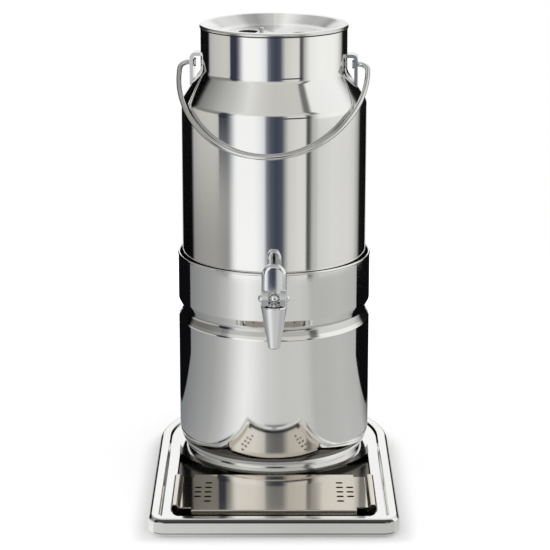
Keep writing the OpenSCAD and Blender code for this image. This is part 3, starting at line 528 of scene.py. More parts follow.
def tray_steel(name, colour, roughness, st):
    """The tray's polish, with painted shade inside the well, in a ring round the sleeve's foot, and along the
    folds, lower edge and skirt of its front.
    """
    material, s = new_material(name)
    spot = s.place()
    x, y, z = s.parts(spot)
    tone, rough = polish(s, spot, colour, roughness)
    rim, low, front = TRAY_HIGH.z, TRAY_LOW.z, TRAY_LOW.y
    deck = rim - st.rim_step
    seat = TRAY_HIGH.x - st.rim - st.rim_step
    well = front + st.well_front
    across, along = x - AXIS.x, y - AXIS.y
    aside = s.math("ABSOLUTE", across)
    within = s.fall(aside, st.well_half, st.well_half + MM) * s.rise(y, well - MM, well)
    # Painted shade inside the well, stronger under the drip plate
    under = s.rise(y, PLATE_LOW.y - 1 * MM, PLATE_LOW.y + 4 * MM)
    well_shade = s.fall(z, deck - 2.0 * MM, deck - 0.6 * MM) * within * (0.4 + under * 0.6)
    # Painted shade in a ring on the deck round the sleeve's foot
    ring = s.hypot(across, along)
    foot = s.band(ring, seat - 7.2 * MM, seat - 6.4 * MM, seat - 0.4 * MM, seat + 0.4 * MM) * within * 0.92
    # Painted dark lines along the bend under the rim and along the hem, and painted shade on the skirt, stronger
    # to the left; all only on the tray's front
    fold = s.band(z, rim - 3.0 * MM, rim - 2.7 * MM, rim - 0.9 * MM, rim - 0.6 * MM)
    hem = s.fall(z, low + 1.4 * MM, low + 2.2 * MM) * 0.8
    skirt = (0.28 - s.rise(across, -100 * MM, 0.0) * 0.16) * s.fall(aside, 103 * MM, 107 * MM)
    edge = s.most(fold, hem, skirt) * s.fall(y, front + 3 * MM, front + 4 * MM)
    # Together these are painted shade: the tray's tone goes darker there, and its roughness rises a little
    painted_shade = s.most(well_shade, foot, edge)
    s.surface({
        "Base Color": s.mix(painted_shade, tone, TRAY_PAINTED_SHADE),
        "Metallic": 1.0,
        "Roughness": rough + painted_shade * 0.08,
    })
    return material


def moulded(name, colour, roughness, grain_scale, sheen=0.0):
    """Rubber, silicone and plastic: a slight grain and a cloudy tone."""
    material, s = new_material(name)
    spot = s.place()
    cloud = s.noise(spot, 40.0, 3.0)
    grain = s.noise(spot, grain_scale, 2.0)
    s.surface({
        "Base Color": s.mix(cloud, shade(colour, 0.88), colour),
        "Roughness": roughness * (0.85 + grain * 0.3),
        "Normal": s.bump(grain, 0.15, 0.0001),
        "Sheen Weight": sheen,
    })
    return material


# Drawing with extrude and spin


def far_side(made):
    """The new points of an extrusion or a spin, and the edges between them."""
    verts = [g for g in made if isinstance(g, bmesh.types.BMVert)]
    ends = set(verts)
    return verts, [g for g in made if isinstance(g, bmesh.types.BMEdge) and set(g.verts) <= ends]


def push(bm, edges, step):
    """Extrudes edges by a vector, and returns the new points and edges."""
    verts, moved = far_side(bmesh.ops.extrude_edge_only(bm, edges=edges)["geom"])
    bmesh.ops.translate(bm, verts=verts, vec=step)
    return verts, moved


class Trace:
    """A new point, or else everything drawn so far, that is drawn on through space."""

    def __init__(self, bm, start=None):
        self.bm = bm
        self.before = set(bm.edges)
        self.verts = bm.verts[:] if start is None else [bm.verts.new(start)]
        self.edges = bm.edges[:] if start is None else []
        self.first = self.verts[0]

    def go(self, step):
        """Straight on by a vector."""
        if self.edges:
            self.verts, self.edges = push(self.bm, self.edges, step)
        else:
            self.verts = bmesh.ops.extrude_vert_indiv(self.bm, verts=self.verts)["verts"]
            bmesh.ops.translate(self.bm, verts=self.verts, vec=step)

    def to(self, point):
        """Straight on, so that a single point ends up there."""
        self.go(Vector(point) - self.verts[0].co)

    def turn(self, centre, axis, angle, steps):
        """Round a bend."""
        made = bmesh.ops.spin(
            self.bm, geom=self.verts + self.edges, cent=centre, axis=axis, angle=angle, steps=steps,
            use_merge=False, use_duplicate=False,
        )
        self.verts, self.edges = far_side(made["geom_last"])

    def close(self):
        """Joins the end to the start and returns the edges of the loop."""
        start = self.first.co.copy()
        bmesh.ops.pointmerge(self.bm, verts=[self.first, self.verts[0]], merge_co=start)
        return [e for e in self.bm.edges if e not in self.before]


def draw_section(bm, path, origin, steps):
    """Draws a bent sheet's section in the XZ plane: points are (across, up, bend radius)."""
    spots = [origin + Vector((p[0], 0, p[1])) for p in path]
    pen = Trace(bm, spots[0])
    for i in range(1, len(path) - 1):
        a = (spots[i] - spots[i - 1]).normalized()
        b = (spots[i + 1] - spots[i]).normalized()
        turn = a.x * b.z - a.z * b.x
        angle = acos(max(-1, min(1, a.dot(b))))
        bend = path[i][2] if len(path[i]) > 2 else 0
        if bend and angle > 1e-4:
            back = bend * tan(angle / 2)
            side = 1 if turn > 0 else -1
            start = spots[i] - a * back
            pen.to(start)
            pen.turn(start + Vector((-a.z, 0, a.x)) * bend * side, -Y * side, angle, steps)
        else:
            pen.to(spots[i])
    pen.to(spots[-1])


def merge(bm, distance=NEAR):
    bmesh.ops.remove_doubles(bm, verts=bm.verts[:], dist=distance)


def solid_out(bm):
    """Turns the faces of closed shapes outwards."""
    bmesh.ops.recalc_face_normals(bm, faces=bm.faces[:])


def face_out(bm, inside):
    """Turns the faces of an open shell away from the inside point that each is given."""
    merge(bm)
    solid_out(bm)
    bm.normal_update()
    outward = sum(f.normal.dot(f.calc_center_median() - inside(f)) * f.calc_area() for f in bm.faces)
    if outward < 0:
        bmesh.ops.reverse_faces(bm, faces=bm.faces[:])


def lathe(bm, centre, steps=256, angle=2 * pi, climb=Vector()):
    """Spins everything drawn so far round an upright line, climbing by a vector at each step."""
    bmesh.ops.spin(
        bm, geom=bm.verts[:] + bm.edges[:], cent=centre, axis=Z, dvec=climb, angle=angle, steps=steps,
        use_merge=angle == 2 * pi, use_duplicate=False,
    )
    merge(bm)
    solid_out(bm)


def turned(path, centre, bend_steps, steps=256):
    """A new bmesh with a section spun round an upright line."""
    bm = bmesh.new()
    draw_section(bm, path, centre, bend_steps)
    lathe(bm, centre, steps)
    return bm


def round_edges(bm, edges, offset, segments=3):
    bmesh.ops.bevel(
        bm, geom=list(edges), offset=offset, offset_type="OFFSET", segments=segments, profile=0.5,
        affect="EDGES", material=-1, clamp_overlap=True,
    )


def join(bm, other):
    """Moves the shape of another bmesh into this one."""
    part = bpy.data.meshes.new("part")
    other.to_mesh(part)
    other.free()
    bm.from_mesh(part)
    bpy.data.meshes.remove(part)


def wire_ring(bm, radius, segments, place, axis):
    """Draws a wire's round section at a place, stood up by a quarter turn."""
    upright = Matrix.Translation(place) @ Matrix.Rotation(pi / 2, 4, axis)
    bmesh.ops.create_circle(bm, segments=segments, radius=radius, matrix=upright)


def cap_wire(bm):
    """Closes the ends of a wire."""
    merge(bm)
    bmesh.ops.holes_fill(bm, edges=bm.edges[:], sides=0)
    solid_out(bm)


def add_piece(bm, name, body, material, nodes=(), sheet=0.0, smooth=35, even=True):
    """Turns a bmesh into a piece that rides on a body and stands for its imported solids.

    A sheet gets its thickness inwards, and even keeps that thickness through its bends.
    """
    for face in bm.faces:
        face.smooth = True
    for edge in bm.edges:
        edge.smooth = len(edge.link_faces) == 2 and edge.calc_face_angle(0) < radians(smooth)
    mesh = bpy.data.meshes.new(name)
    bm.to_mesh(mesh)
    bm.free()
    piece = bpy.data.objects.new(name, mesh)
    bpy.context.collection.objects.link(piece)
    mesh.materials.append(material)
    if sheet:
        wall = piece.modifiers.new("sheet", "SOLIDIFY")
        wall.thickness = sheet
        wall.offset = -1
        wall.use_even_offset = even
    shading = piece.modifiers.new("shading", "WEIGHTED_NORMAL")
    shading.keep_sharp = True
    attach(piece, body)
    if nodes:
        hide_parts(*nodes)
    return piece


def from_axis(f):
    """Point of the can's axis at the height of a face."""
    return Vector((AXIS.x, AXIS.y, f.calc_center_median().z))


def slot_loop(bm, centre, length, width, turn=0.0):
    """Draws a closed slot outline with round ends, lying flat."""
    along = Matrix.Rotation(turn, 3, "Z") @ X
    across = Matrix.Rotation(turn, 3, "Z") @ Y
    reach = along * (length - width) / 2
    side = across * width / 2
    pen = Trace(bm, centre + reach - side)
    pen.turn(centre + reach, Z, pi, 12)
    pen.to(centre - reach + side)
    pen.turn(centre - reach, Z, pi, 12)
    pen.to(centre + reach - side)
    return pen.close()


def fill(bm, edges):
    """Fills flat outlines, leaving the inner ones open."""
    bmesh.ops.triangle_fill(bm, use_beauty=True, use_dissolve=False, edges=edges, normal=Z)


def sink(bm, edges, depth):
    """Presses a closed outline down into a pocket with a floor."""
    fill(bm, push(bm, edges, -Z * depth)[1])


class PieceOperator(Operator):
    """Shared settings of the operators."""

    bl_options = {"REGISTER", "UNDO"}
    can = property(lambda self: bpy.context.scene.dispenser_can)
    stand = property(lambda self: bpy.context.scene.dispenser_stand)
    tap = property(lambda self: bpy.context.scene.dispenser_tap)
    looks = property(lambda self: bpy.context.scene.dispenser_looks)


class DISPENSER_OT_can(PieceOperator):
    """Spin the can's bottom, wall and neck"""

    bl_idname = "dispenser.can"
    bl_label = "Can"

    def execute(self, context):
        c = self.can
        low = CAN_LOW.z
        steel = polished("can_polish", self.looks.steel, self.looks.steel_gloss, spun=True)
        pieces = {
            "bottom_spun": ("can_bottom", [(0, low), (c.radius, low, c.corner), (c.radius, LOW_SEAM.z)]),
            "wall_rolled": ("can_wall_tube", [(c.radius, LOW_SEAM.z), (c.radius, SEAM.z)]),
            "neck_spun": ("can_neck", [
                (c.radius, SEAM.z),
                (c.radius, low + c.shoulder, c.shoulder_bend),
                (c.neck, low + c.shoulder + c.shoulder_rise, c.shoulder_bend),
                (c.neck, CAN_HIGH.z),
            ]),
        }
        for name, (node, path) in pieces.items():
            bm = turned(path, AXIS, 12)
            face_out(bm, from_axis)
            add_piece(bm, name, "can", steel, [node], sheet=c.wall, smooth=60)
        return {"FINISHED"}


class DISPENSER_OT_lid(PieceOperator):
    """Press the lid's dish, flange and finger wells"""

    bl_idname = "dispenser.lid"
    bl_label = "Lid"

    def execute(self, context):
        c = self.can
        top = LID_HIGH.z
        floor = top - c.dish
        outer = LID_HIGH.x
        inner = outer - c.lid_flange_width
        flat = inner - c.dish_run - 6 * MM  # inside the dish's bend
        bm = turned([
            (flat, floor),
            (inner - c.dish_run, floor, c.dish_bend),
            (inner, top, 2.4 * MM),
            (outer, top, 2 * MM),
            (outer, top - c.lid_flange),
        ], AXIS, 10)
        rim = [e for e in bm.edges if len(e.link_faces) == 1 and (e.verts[0].co - AXIS).xy.length < flat + MM]
        wells = []
        for side in (-1, 1):
            spot = Matrix.Rotation(c.lid_turn, 3, "Z") @ (X * side * c.finger_gap / 2)
            wells += slot_loop(bm, AXIS + spot + Z * floor, c.finger_length, c.finger_width, c.lid_turn + pi / 2)
        fill(bm, rim + wells)
        sink(bm, wells, c.finger_depth)
        round_edges(bm, wells, 1.2 * MM, 4)
        merge(bm)
        face_out(bm, lambda f: AXIS + Z * (floor - 60 * MM))
        steel = satin_dish("lid_polish", self.looks.steel, self.looks.dish_gloss, floor)
        add_piece(bm, "lid_pressed", "lid", steel, ["lid"], sheet=c.lid_sheet, smooth=40)
        return {"FINISHED"}


class DISPENSER_OT_bail(PieceOperator):
    """Bend the bail from one wire with headed ends"""

    bl_idname = "dispenser.bail"
    bl_label = "Bail"

    def execute(self, context):
        c = self.can
        r = c.wire / 2
        legs = c.bail_length - c.bow - c.bail_bend - c.bail_leg
        side_r = c.bow + legs / cos(c.bow_half)
        shift = (side_r - c.bow) * sin(c.bow_half)
        knee = c.bail_bend + c.bail_leg
        reach = side_r - shift
        start = reach - c.bail_bend
        head = start - c.ear_gap - c.ear_sheet - c.play
        straight = start - head + c.head
        bm = bmesh.new()
        wire_ring(bm, r, 24, X * (head - c.head), "Y")
        pen = Trace(bm)
        pen.go(X * straight)
        pen.turn(Vector((start, c.bail_bend, 0)), Z, pi / 2, 12)
        pen.go(Y * c.bail_leg)
        pen.turn(Vector((-shift, knee, 0)), Z, pi / 2 - c.bow_half, 36)
        pen.turn(Vector((0, c.bail_length - c.bow, 0)), Z, 2 * c.bow_half, 56)
        pen.turn(Vector((shift, knee, 0)), Z, pi / 2 - c.bow_half, 36)
        pen.go(-Y * c.bail_leg)
        pen.turn(Vector((-start, c.bail_bend, 0)), Z, pi / 2, 12)
        pen.go(X * straight)
        cap_wire(bm)
        disc = r + c.head_edge
        for side in (-1, 1):
            place = Matrix.Translation(X * side * (head - c.head / 2)) @ Matrix.Rotation(pi / 2, 4, "Y")
            made = bmesh.ops.create_cone(
                bm, cap_ends=True, segments=32, radius1=disc, radius2=disc, depth=c.head, matrix=place
            )
            caps = {e for v in made["verts"] for e in v.link_edges if e.calc_face_angle(0) > 1}
            round_edges(bm, caps, 0.5 * MM, 3)
        lean = asin((c.radius + r + c.play) / c.bail_length)
        pivot = AXIS + Z * (CAN_LOW.z + c.shoulder + c.shoulder_rise + c.pivot)
        place = Matrix.Translation(pivot) @ Matrix.Rotation(c.bail_turn, 4, "Z")
        place = place @ Matrix.Rotation(-pi / 2 - lean, 4, "X")
        bmesh.ops.transform(bm, verts=bm.verts[:], matrix=place)
        solid_out(bm)
        steel = polished("bail_polish", shade(self.looks.steel, WIRE_TONE), self.looks.wire_gloss)
        add_piece(bm, "bail_wire", "bail", steel, ["bail"], smooth=50)
        return {"FINISHED"}


class DISPENSER_OT_sleeve(PieceOperator):
    """Spin the sleeve with its foot, groove and lip, and cut the tap's slot"""

    bl_idname = "dispenser.sleeve"
    bl_label = "Sleeve"

    def execute(self, context):
        st = self.stand
        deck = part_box("stand_sleeve")[0].z
        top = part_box("stand_sleeve")[1].z - st.lip / 2
        foot = st.sleeve - st.heel + sqrt(st.heel ** 2 - st.heel_rise ** 2)
        shank = TAP_LOW.z + self.tap.shank_height
        groove = deck + st.groove_height
        bm = bmesh.new()
        pen = Trace(bm, AXIS + Z * deck)
        pen.to(AXIS + Vector((foot, 0, deck)))
        heel = AXIS + Vector((st.sleeve - st.heel, 0, deck + st.heel_rise))
        pen.turn(heel, -Y, asin(st.heel_rise / st.heel), 16)
        draw_section(bm, [
            (st.sleeve, deck + st.heel_rise),
            (st.sleeve, groove - st.groove_half, 4 * MM),
            (st.sleeve - st.groove_depth, groove, 6 * MM),
            (st.sleeve, groove + st.groove_half, 4 * MM),
            (st.sleeve, top),
        ], AXIS, 10)
        merge(bm)
        lathe(bm, AXIS, 360)
        self.cut_slot(bm, shank)
        face_out(bm, from_axis)
        # Painted shade in the groove, from 6.5 mm under its middle to 1 mm over it, leaving its lower bend bright
        painted_shade = (groove - 6.5 * MM, groove + 1 * MM)
        steel = polished("sleeve_polish", self.looks.steel, self.looks.steel_gloss, spun=True, painted_shade=painted_shade)
        add_piece(
            bm, "sleeve_spun", "stand", steel, ["stand_sleeve"], sheet=st.sleeve_sheet, smooth=45
        )
        self.add_lip(steel, top)
        return {"FINISHED"}

    def cut_slot(self, bm, shank):
        """Cuts the round-bottomed slot out of the front of the shell."""
        half = self.stand.slot_half
        middle = Vector((AXIS.x, AXIS.y, shank))
        steps = 16
        inside = half * cos(pi / 2 / steps)
        angles = [pi + pi * (k + 0.5) / steps for k in range(steps)]
        spokes = [Vector((cos(angle), 0, sin(angle))) for angle in angles]

        def front(wide, deep):
            """Faces of the shell's front round the slot, by its half width."""
            spots = [(f, (f.calc_center_median() - middle) / half) for f in bm.faces]
            return [f for f, spot in spots if spot.y < -4 and abs(spot.x) < wide and spot.z > -deep]

        planes = [(middle + X * half * side, X) for side in (-1, 1)] + [(middle, Z)]
        for place, way in planes + [(middle + spoke * inside, spoke) for spoke in spokes]:
            near = list(dict.fromkeys(g for f in front(1.6, 1.5) for g in (f, *f.edges, *f.verts)))
            bmesh.ops.bisect_plane(bm, geom=near, dist=1e-7, plane_co=place, plane_no=way)
        gone = []
        for f in front(1, 1):
            spot = f.calc_center_median() - middle
            if spot.z > 0 or all(spot.dot(spoke) < inside for spoke in spokes):
                gone.append(f)
        bmesh.ops.delete(bm, geom=gone, context="FACES")

    def add_lip(self, steel, top):
        """Rolls the sleeve's upper edge, open at the slot."""
        st = self.stand
        gap = asin(st.slot_half / st.sleeve)
        bm = bmesh.new()
        place = AXIS + Vector((st.sleeve - st.sleeve_sheet / 2, 0, top - st.lip / 2))
        wire_ring(bm, st.lip, 16, place, "X")
        bmesh.ops.rotate(bm, verts=bm.verts[:], cent=AXIS, matrix=Matrix.Rotation(-pi / 2 + gap, 3, "Z"))
        lathe(bm, AXIS, 340, 2 * (pi - gap))
        cap_wire(bm)
        add_piece(bm, "sleeve_lip", "stand", steel, smooth=50)


class DISPENSER_OT_tray(PieceOperator):
    """Press the drip tray with its rim, skirt, hem, seat and well"""

    bl_idname = "dispenser.tray"
    bl_label = "Tray"

    def execute(self, context):
        st = self.stand
        half = TRAY_HIGH.x
        front = TRAY_LOW.y
        rim = TRAY_HIGH.z
        deck = rim - st.rim_step
        low = TRAY_LOW.z
        corner = st.tray_corner
        inset = st.rim + st.rim_step
        bm = bmesh.new()
        draw_section(bm, [
            (-inset - MM, deck),
            (-inset, deck, 1.6 * MM),
            (-st.rim, rim, 1.6 * MM),
            (0, rim, st.rim_bend),
            (0, low, 1.8 * MM),
            (-st.hem, low),
        ], AXIS + X * half, 8)
        seat = half - inset
        back = AXIS.y - sqrt(seat ** 2 - st.well_half ** 2)
        sweep = Trace(bm)
        sweep.go(Y * (back - AXIS.y))
        sweep.go(Y * (front + corner - back))
        sweep.turn(Vector((half - corner, front + corner, 0)), -Z, pi / 2, 16)
        sweep.go(-X * 2 * (half - corner))
        sweep.turn(Vector((corner - half, front + corner, 0)), -Z, pi / 2, 16)
        sweep.go(Y * (back - front - corner))
        sweep.go(Y * (AXIS.y - back))
        sweep.turn(AXIS, -Z, pi, 96)
        self.draw_well(bm, deck, front, seat, back)
        for side in (-1, 1):
            Trace(bm, (side * st.well_half, back, deck)).to((side * (seat - MM), back, deck))
        merge(bm)
        well = self.fill_deck(bm, deck, seat, back)
        sink(bm, well, st.well_depth)
        round_edges(bm, well, 1.0 * MM, 3)
        face_out(bm, lambda f: Vector((0, f.calc_center_median().y, -0.3)))
        steel = tray_steel("tray_polish", self.looks.steel, self.looks.tray_gloss, st)
        add_piece(
            bm, "tray_pressed", "stand", steel, ["base_tray"],
            sheet=st.tray_sheet, smooth=40, even=False,
        )
        return {"FINISHED"}

    def draw_well(self, bm, deck, front, seat, back):
        """Draws the well: a rectangle with round front corners, cut by the round seat."""
        st = self.stand
        w = st.well_half
        y = front + st.well_front
        r = st.well_corner
        pen = Trace(bm, (w, back, deck))
        pen.to((w, y + r, deck))
        pen.turn(Vector((w - r, y + r, deck)), -Z, pi / 2, 8)
        pen.to((r - w, y, deck))
        pen.turn(Vector((r - w, y + r, deck)), -Z, pi / 2, 8)
        pen.to((-w, back, deck))
        pen.turn(AXIS + Z * deck, Z, pi - 2 * asin((AXIS.y - back) / seat), 48)

    def fill_deck(self, bm, deck, seat, back):
        """Fills the deck behind and round the well, and returns the well's edges."""
        flat = [e for e in bm.edges if len(e.link_faces) < 2 and all(abs(v.co.z - deck) < NEAR for v in e.verts)]
        rear, front, well = [], [], []
        for e in flat:
            spot = (e.verts[0].co + e.verts[1].co) / 2
            behind = spot.y > back + NEAR
            if e.link_faces:
                (rear if behind else front).append(e)
            elif abs(spot.y - back) < NEAR:
                rear.append(e)
                front.append(e)
            else:
                arc = all(abs((v.co - AXIS).xy.length - seat) < 1e-5 for v in e.verts)
                (rear if arc else front).append(e)
                well.append(e)
        fill(bm, rear)
        fill(bm, front)
        return well


class DISPENSER_OT_plate(PieceOperator):
    """Fold the drip plate with rolled sides and drain slots"""

    bl_idname = "dispenser.plate"
    bl_label = "Drip plate"

    def execute(self, context):
        st = self.stand
        edge = PLATE_HIGH.x
        low = PLATE_LOW.z
        top = low + st.plate_sheet
        crest = PLATE_HIGH.z
        back, front = PLATE_HIGH.y, PLATE_LOW.y
        flat = edge - st.roll - 3 * MM
        bm = bmesh.new()
        corners = []
        for side in (1, -1):
            ys = (front, front + st.roll_setback, back - st.roll_setback, back)
            ys = ys if side > 0 else ys[::-1]
            corners += [Vector((side * flat, y, top)) for y in ys]
        pen = Trace(bm, corners[0])
        for spot in corners[1:] + corners[:1]:
            pen.to(spot)
        merge(bm)
        outline = bm.edges[:]
        slots = []
        for side in (-1, 1):
            for column, rows in enumerate((3, 5)):
                x = side * (flat - st.drain_edge - column * st.drain_step)
                for row in range(rows):
                    y = (back + front) / 2 + (row - (rows - 1) / 2) * st.drain_pitch
                    slots += slot_loop(bm, Vector((x, y, top)), st.drain_length, st.drain_width)
        fill(bm, outline + slots)
        ends = [e for e in outline if abs(e.verts[0].co.y - e.verts[1].co.y) < NEAR]
        push(bm, ends, -Z * st.plate_lip)
        round_edges(bm, ends, 1.2 * MM, 4)
        for side in (-1, 1):
            roll = bmesh.new()
            draw_section(roll, [
                (flat - edge, top),
                (-st.roll_foot, top, 0.8 * MM),
                (-st.roll_crest, crest, 1.4 * MM),
                (0, crest, 2.6 * MM),
                (0, low),
            ], Vector((edge, 0, 0)), 8)
            if side < 0:
                bmesh.ops.scale(roll, vec=(-1, 1, 1), verts=roll.verts[:])
            bmesh.ops.translate(roll, verts=roll.verts[:], vec=Y * (front + st.roll_setback))
            Trace(roll).go(Y * (back - front - 2 * st.roll_setback))
            join(bm, roll)
        merge(bm, 2e-5)
        face_out(bm, lambda f: f.calc_center_median() * Vector((1, 1, 0)) - Z)
        steel = polished("plate_polish", self.looks.plate, self.looks.plate_gloss)
        add_piece(
            bm, "plate_folded", "plate", steel, ["drip_plate"], sheet=st.plate_sheet, smooth=40
        )
        return {"FINISHED"}


class DISPENSER_OT_tap(PieceOperator):
    """Turn the tap's spout, shank, flange, bonnet and stem"""

    bl_idname = "dispenser.tap"
    bl_label = "Tap"

    def execute(self, context):
        t = self.tap
        chrome = polished("tap_chrome", self.looks.chrome, self.looks.tap_gloss)
        tip, top = TAP_LOW.z, TAP_HIGH.z
        bm = turned([
            (t.chamber / 2, top),
            (t.chamber / 2, tip + t.seat + (t.chamber - t.outlet) / 2),
            (t.outlet / 2, tip + t.seat),
            (t.outlet / 2, tip, 0.6 * MM),
            (t.tip / 2, tip, 1.2 * MM),
            (t.top / 2, top - 1 * MM, 0.8 * MM),
            (t.top / 2 - 0.6 * MM, top),
            (t.chamber / 2, top),
        ], SPOUT, 5, 96)
        self.add_shank(bm, tip + t.shank_height)
        add_piece(bm, "tap_turned", "can", chrome, ["tap_body"], smooth=40)
        self.add_bonnet(chrome)
        self.add_stem()
        self.add_spring()
        return {"FINISHED"}

    def add_shank(self, bm, height):
        """Adds the shank and its flange to the tap, turned round the line to the can."""
        t = self.tap
        reach = TAP_HIGH.y - SPOUT.y
        flange = AXIS.y - t.flange_reach - SPOUT.y
        root = t.chamber / 2 + 0.5 * MM
        shank = turned([
            (t.shank_bore / 2, root),
            (t.shank_bore / 2, reach),
            (t.shank / 2, reach, 0.8 * MM),
            (t.shank / 2, flange),
            (t.flange / 2, flange, 0.6 * MM),
            (t.flange / 2, flange - t.flange_sheet, 0.9 * MM),
            (t.shank / 2, flange - t.flange_sheet, 0.8 * MM),
            (t.shank / 2, root),
            (t.shank_bore / 2, root),
        ], Vector(), 5, 80)
        place = Matrix.Translation(Vector((SPOUT.x, SPOUT.y, height))) @ Matrix.Rotation(-pi / 2, 4, "X")
        bmesh.ops.transform(shank, verts=shank.verts[:], matrix=place)
        join(bm, shank)

    def add_bonnet(self, chrome):
        t = self.tap
        low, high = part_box("tap_bonnet")
        top = TAP_HIGH.z
        bore = t.stem / 2 + 0.1 * MM
        bm = turned([
            (bore, low.z),
            (t.chamber / 2 - FIT, low.z),
            (t.chamber / 2 - FIT, top),
            (t.top / 2, top, 0.5 * MM),
            (t.top / 2 - 0.4 * MM, high.z, 0.7 * MM),
            (bore, high.z, 0.3 * MM),
            (bore, low.z),
        ], SPOUT, 5, 96)
        add_piece(bm, "bonnet_turned", "can", chrome, ["tap_bonnet"], smooth=40)

    def add_stem(self):
        t = self.tap
        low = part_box("valve_stem")[0]
        ball = t.ball / 2
        r = t.stem / 2
        neck = PIN.z - sqrt(ball ** 2 - r ** 2)
        bm = bmesh.new()
        pen = Trace(bm, SPOUT + Z * low.z)
        pen.to(SPOUT + Vector((r, 0, low.z)))
        pen.to(SPOUT + Vector((r, 0, neck)))
        pen.turn(SPOUT + Z * PIN.z, -Y, pi / 2 + acos(r / ball), 24)
        lathe(bm, SPOUT, 48)
        steel = polished("stem_polish", self.looks.steel, self.looks.stem_gloss)
        add_piece(bm, "stem_turned", "valve", steel, ["valve_stem"], smooth=50)

    def add_spring(self):
        """Coils the valve's spring."""
        t = self.tap
        low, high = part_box("valve_spring")
        r = t.spring_wire / 2
        steps = 24 * t.spring_turns
        bm = bmesh.new()
        wire_ring(bm, r, 12, SPOUT + Vector(((t.stem + t.chamber) / 4, 0, low.z + r)), "X")
        lathe(bm, SPOUT, steps, 2 * pi * t.spring_turns, Z * (high.z - low.z - 2 * r) / steps)
        cap_wire(bm)
        steel = polished("spring_steel", shade(self.looks.steel, WIRE_TONE), self.looks.plain_gloss)
        spring = add_piece(bm, "spring_coiled", "can", steel, ["valve_spring"], smooth=50)
        lift = next(joint for joint in frame["joints"] if joint["name"] == "valve_lift")["range_m"][1]
        SPOUT + Z * high.z
        1 - lift / (high.z - low.z)
        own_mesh(spring)


class DISPENSER_OT_lever(PieceOperator):
    """Shape the tap's lever with its cam feet, and its cross pin"""

    bl_idname = "dispenser.lever"
    bl_label = "Lever"

    def execute(self, context):
        t = self.tap
        chrome = polished("lever_chrome", self.looks.chrome, self.looks.lever_gloss)
        bm = bmesh.new()
        self.add_paddle(bm)
        for side in (t.cheek, -t.lever_width / 2):
            self.add_cheek(bm, side)
        bmesh.ops.translate(bm, verts=bm.verts[:], vec=PIN)
        solid_out(bm)
        add_piece(bm, "lever_shaped", "lever", chrome, ["tap_lever"], smooth=35)
        self.add_pin(chrome)
        return {"FINISHED"}

    def add_paddle(self, bm):
        """A plate with round sides and a round top."""
        t = self.tap
        low = t.cam + 1 * MM
        rise = t.lever_rise - low
        block = Matrix.Diagonal((t.lever_width, t.lever_sheet, rise, 1))
        bmesh.ops.create_cube(bm, size=1, matrix=Matrix.Translation(Z * (low + rise / 2)) @ block)
        corners = [
            e for e in bm.edges
            if min(v.co.z for v in e.verts) > t.lever_rise - MM and abs(e.verts[0].co.x - e.verts[1].co.x) < NEAR
        ]
        round_edges(bm, corners, t.lever_corner, 14)
        around = [
            e for e in bm.edges
            if e.calc_face_angle(0) > radians(60) and max(v.co.z for v in e.verts) > low + NEAR
        ]
        round_edges(bm, around, t.lever_edge, 8)
        strip = 1.5 * MM
        for k in range(-6, 7):
            every = bm.verts[:] + bm.edges[:] + bm.faces[:]
            bmesh.ops.bisect_plane(bm, geom=every, dist=1e-7, plane_co=X * k * strip, plane_no=X)
        for v in bm.verts:
            depth = max(0, -v.co.y / (t.lever_sheet / 2))
            v.co.y += depth * (v.co.x + t.crown_shift) ** 2 / (2 * t.crown)

    def add_cheek(self, bm, start):
        """A cheek of the fork: a lobe round the pin with an involute foot, drawn in small turns."""
        t = self.tap
        half = t.lever_sheet / 2
        top = t.cam + 2 * MM
        lobe = asin(half / t.cam)
        cheek = bmesh.new()
        pen = Trace(cheek, (0, half, top))
        pen.to((0, half, t.cam * cos(lobe)))
        pen.turn(Vector(), -X, pi - lobe, 20)
        pen.to((0, -t.cam_lift, -t.cam))
        tilt, steps = radians(40), 10
        for k in range(steps):
            angle = (k + 0.5) * tilt / steps
            pen.turn(Vector((0, -cos(angle), sin(angle))) * t.cam_lift, -X, tilt / steps, 1)
        pen.to((0, -half, 0))
        pen.to((0, -half, top))
        pen.to((0, half, top))
        merge(cheek)
        bmesh.ops.contextual_create(cheek, geom=cheek.edges[:])
        made = bmesh.ops.extrude_face_region(cheek, geom=cheek.faces[:])["geom"]
        bmesh.ops.translate(cheek, verts=far_side(made)[0], vec=X * (t.lever_width / 2 - t.cheek))
        solid_out(cheek)
        outline = [e for e in cheek.edges if abs(e.verts[0].co.x - e.verts[1].co.x) < NEAR]
        round_edges(cheek, outline, 0.6 * MM)
        bmesh.ops.translate(cheek, verts=cheek.verts[:], vec=X * start)
        join(bm, cheek)

    def add_pin(self, chrome):
        t = self.tap
        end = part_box("lever_pin")[1].x
        start = t.lever_width / 2 + FIT
        head = t.pin_head / 2
        dome = end - head
        bm = bmesh.new()
        pen = Trace(bm, (0, 0, end))
        pen.turn(Vector((0, 0, dome)), Y, pi / 2, 12)
        pen.to((head, 0, start))
        pen.to((t.pin / 2, 0, start))
        pen.to((t.pin / 2, 0, 0))
        lathe(bm, Vector(), 40)
        bmesh.ops.mirror(bm, geom=bm.verts[:] + bm.edges[:] + bm.faces[:], axis="Z", merge_dist=NEAR)
        merge(bm)
        place = Matrix.Translation(PIN) @ Matrix.Rotation(pi / 2, 4, "Y")
        bmesh.ops.transform(bm, verts=bm.verts[:], matrix=place)
        solid_out(bm)
        add_piece(bm, "pin_turned", "lever", chrome, ["lever_pin"], smooth=40)


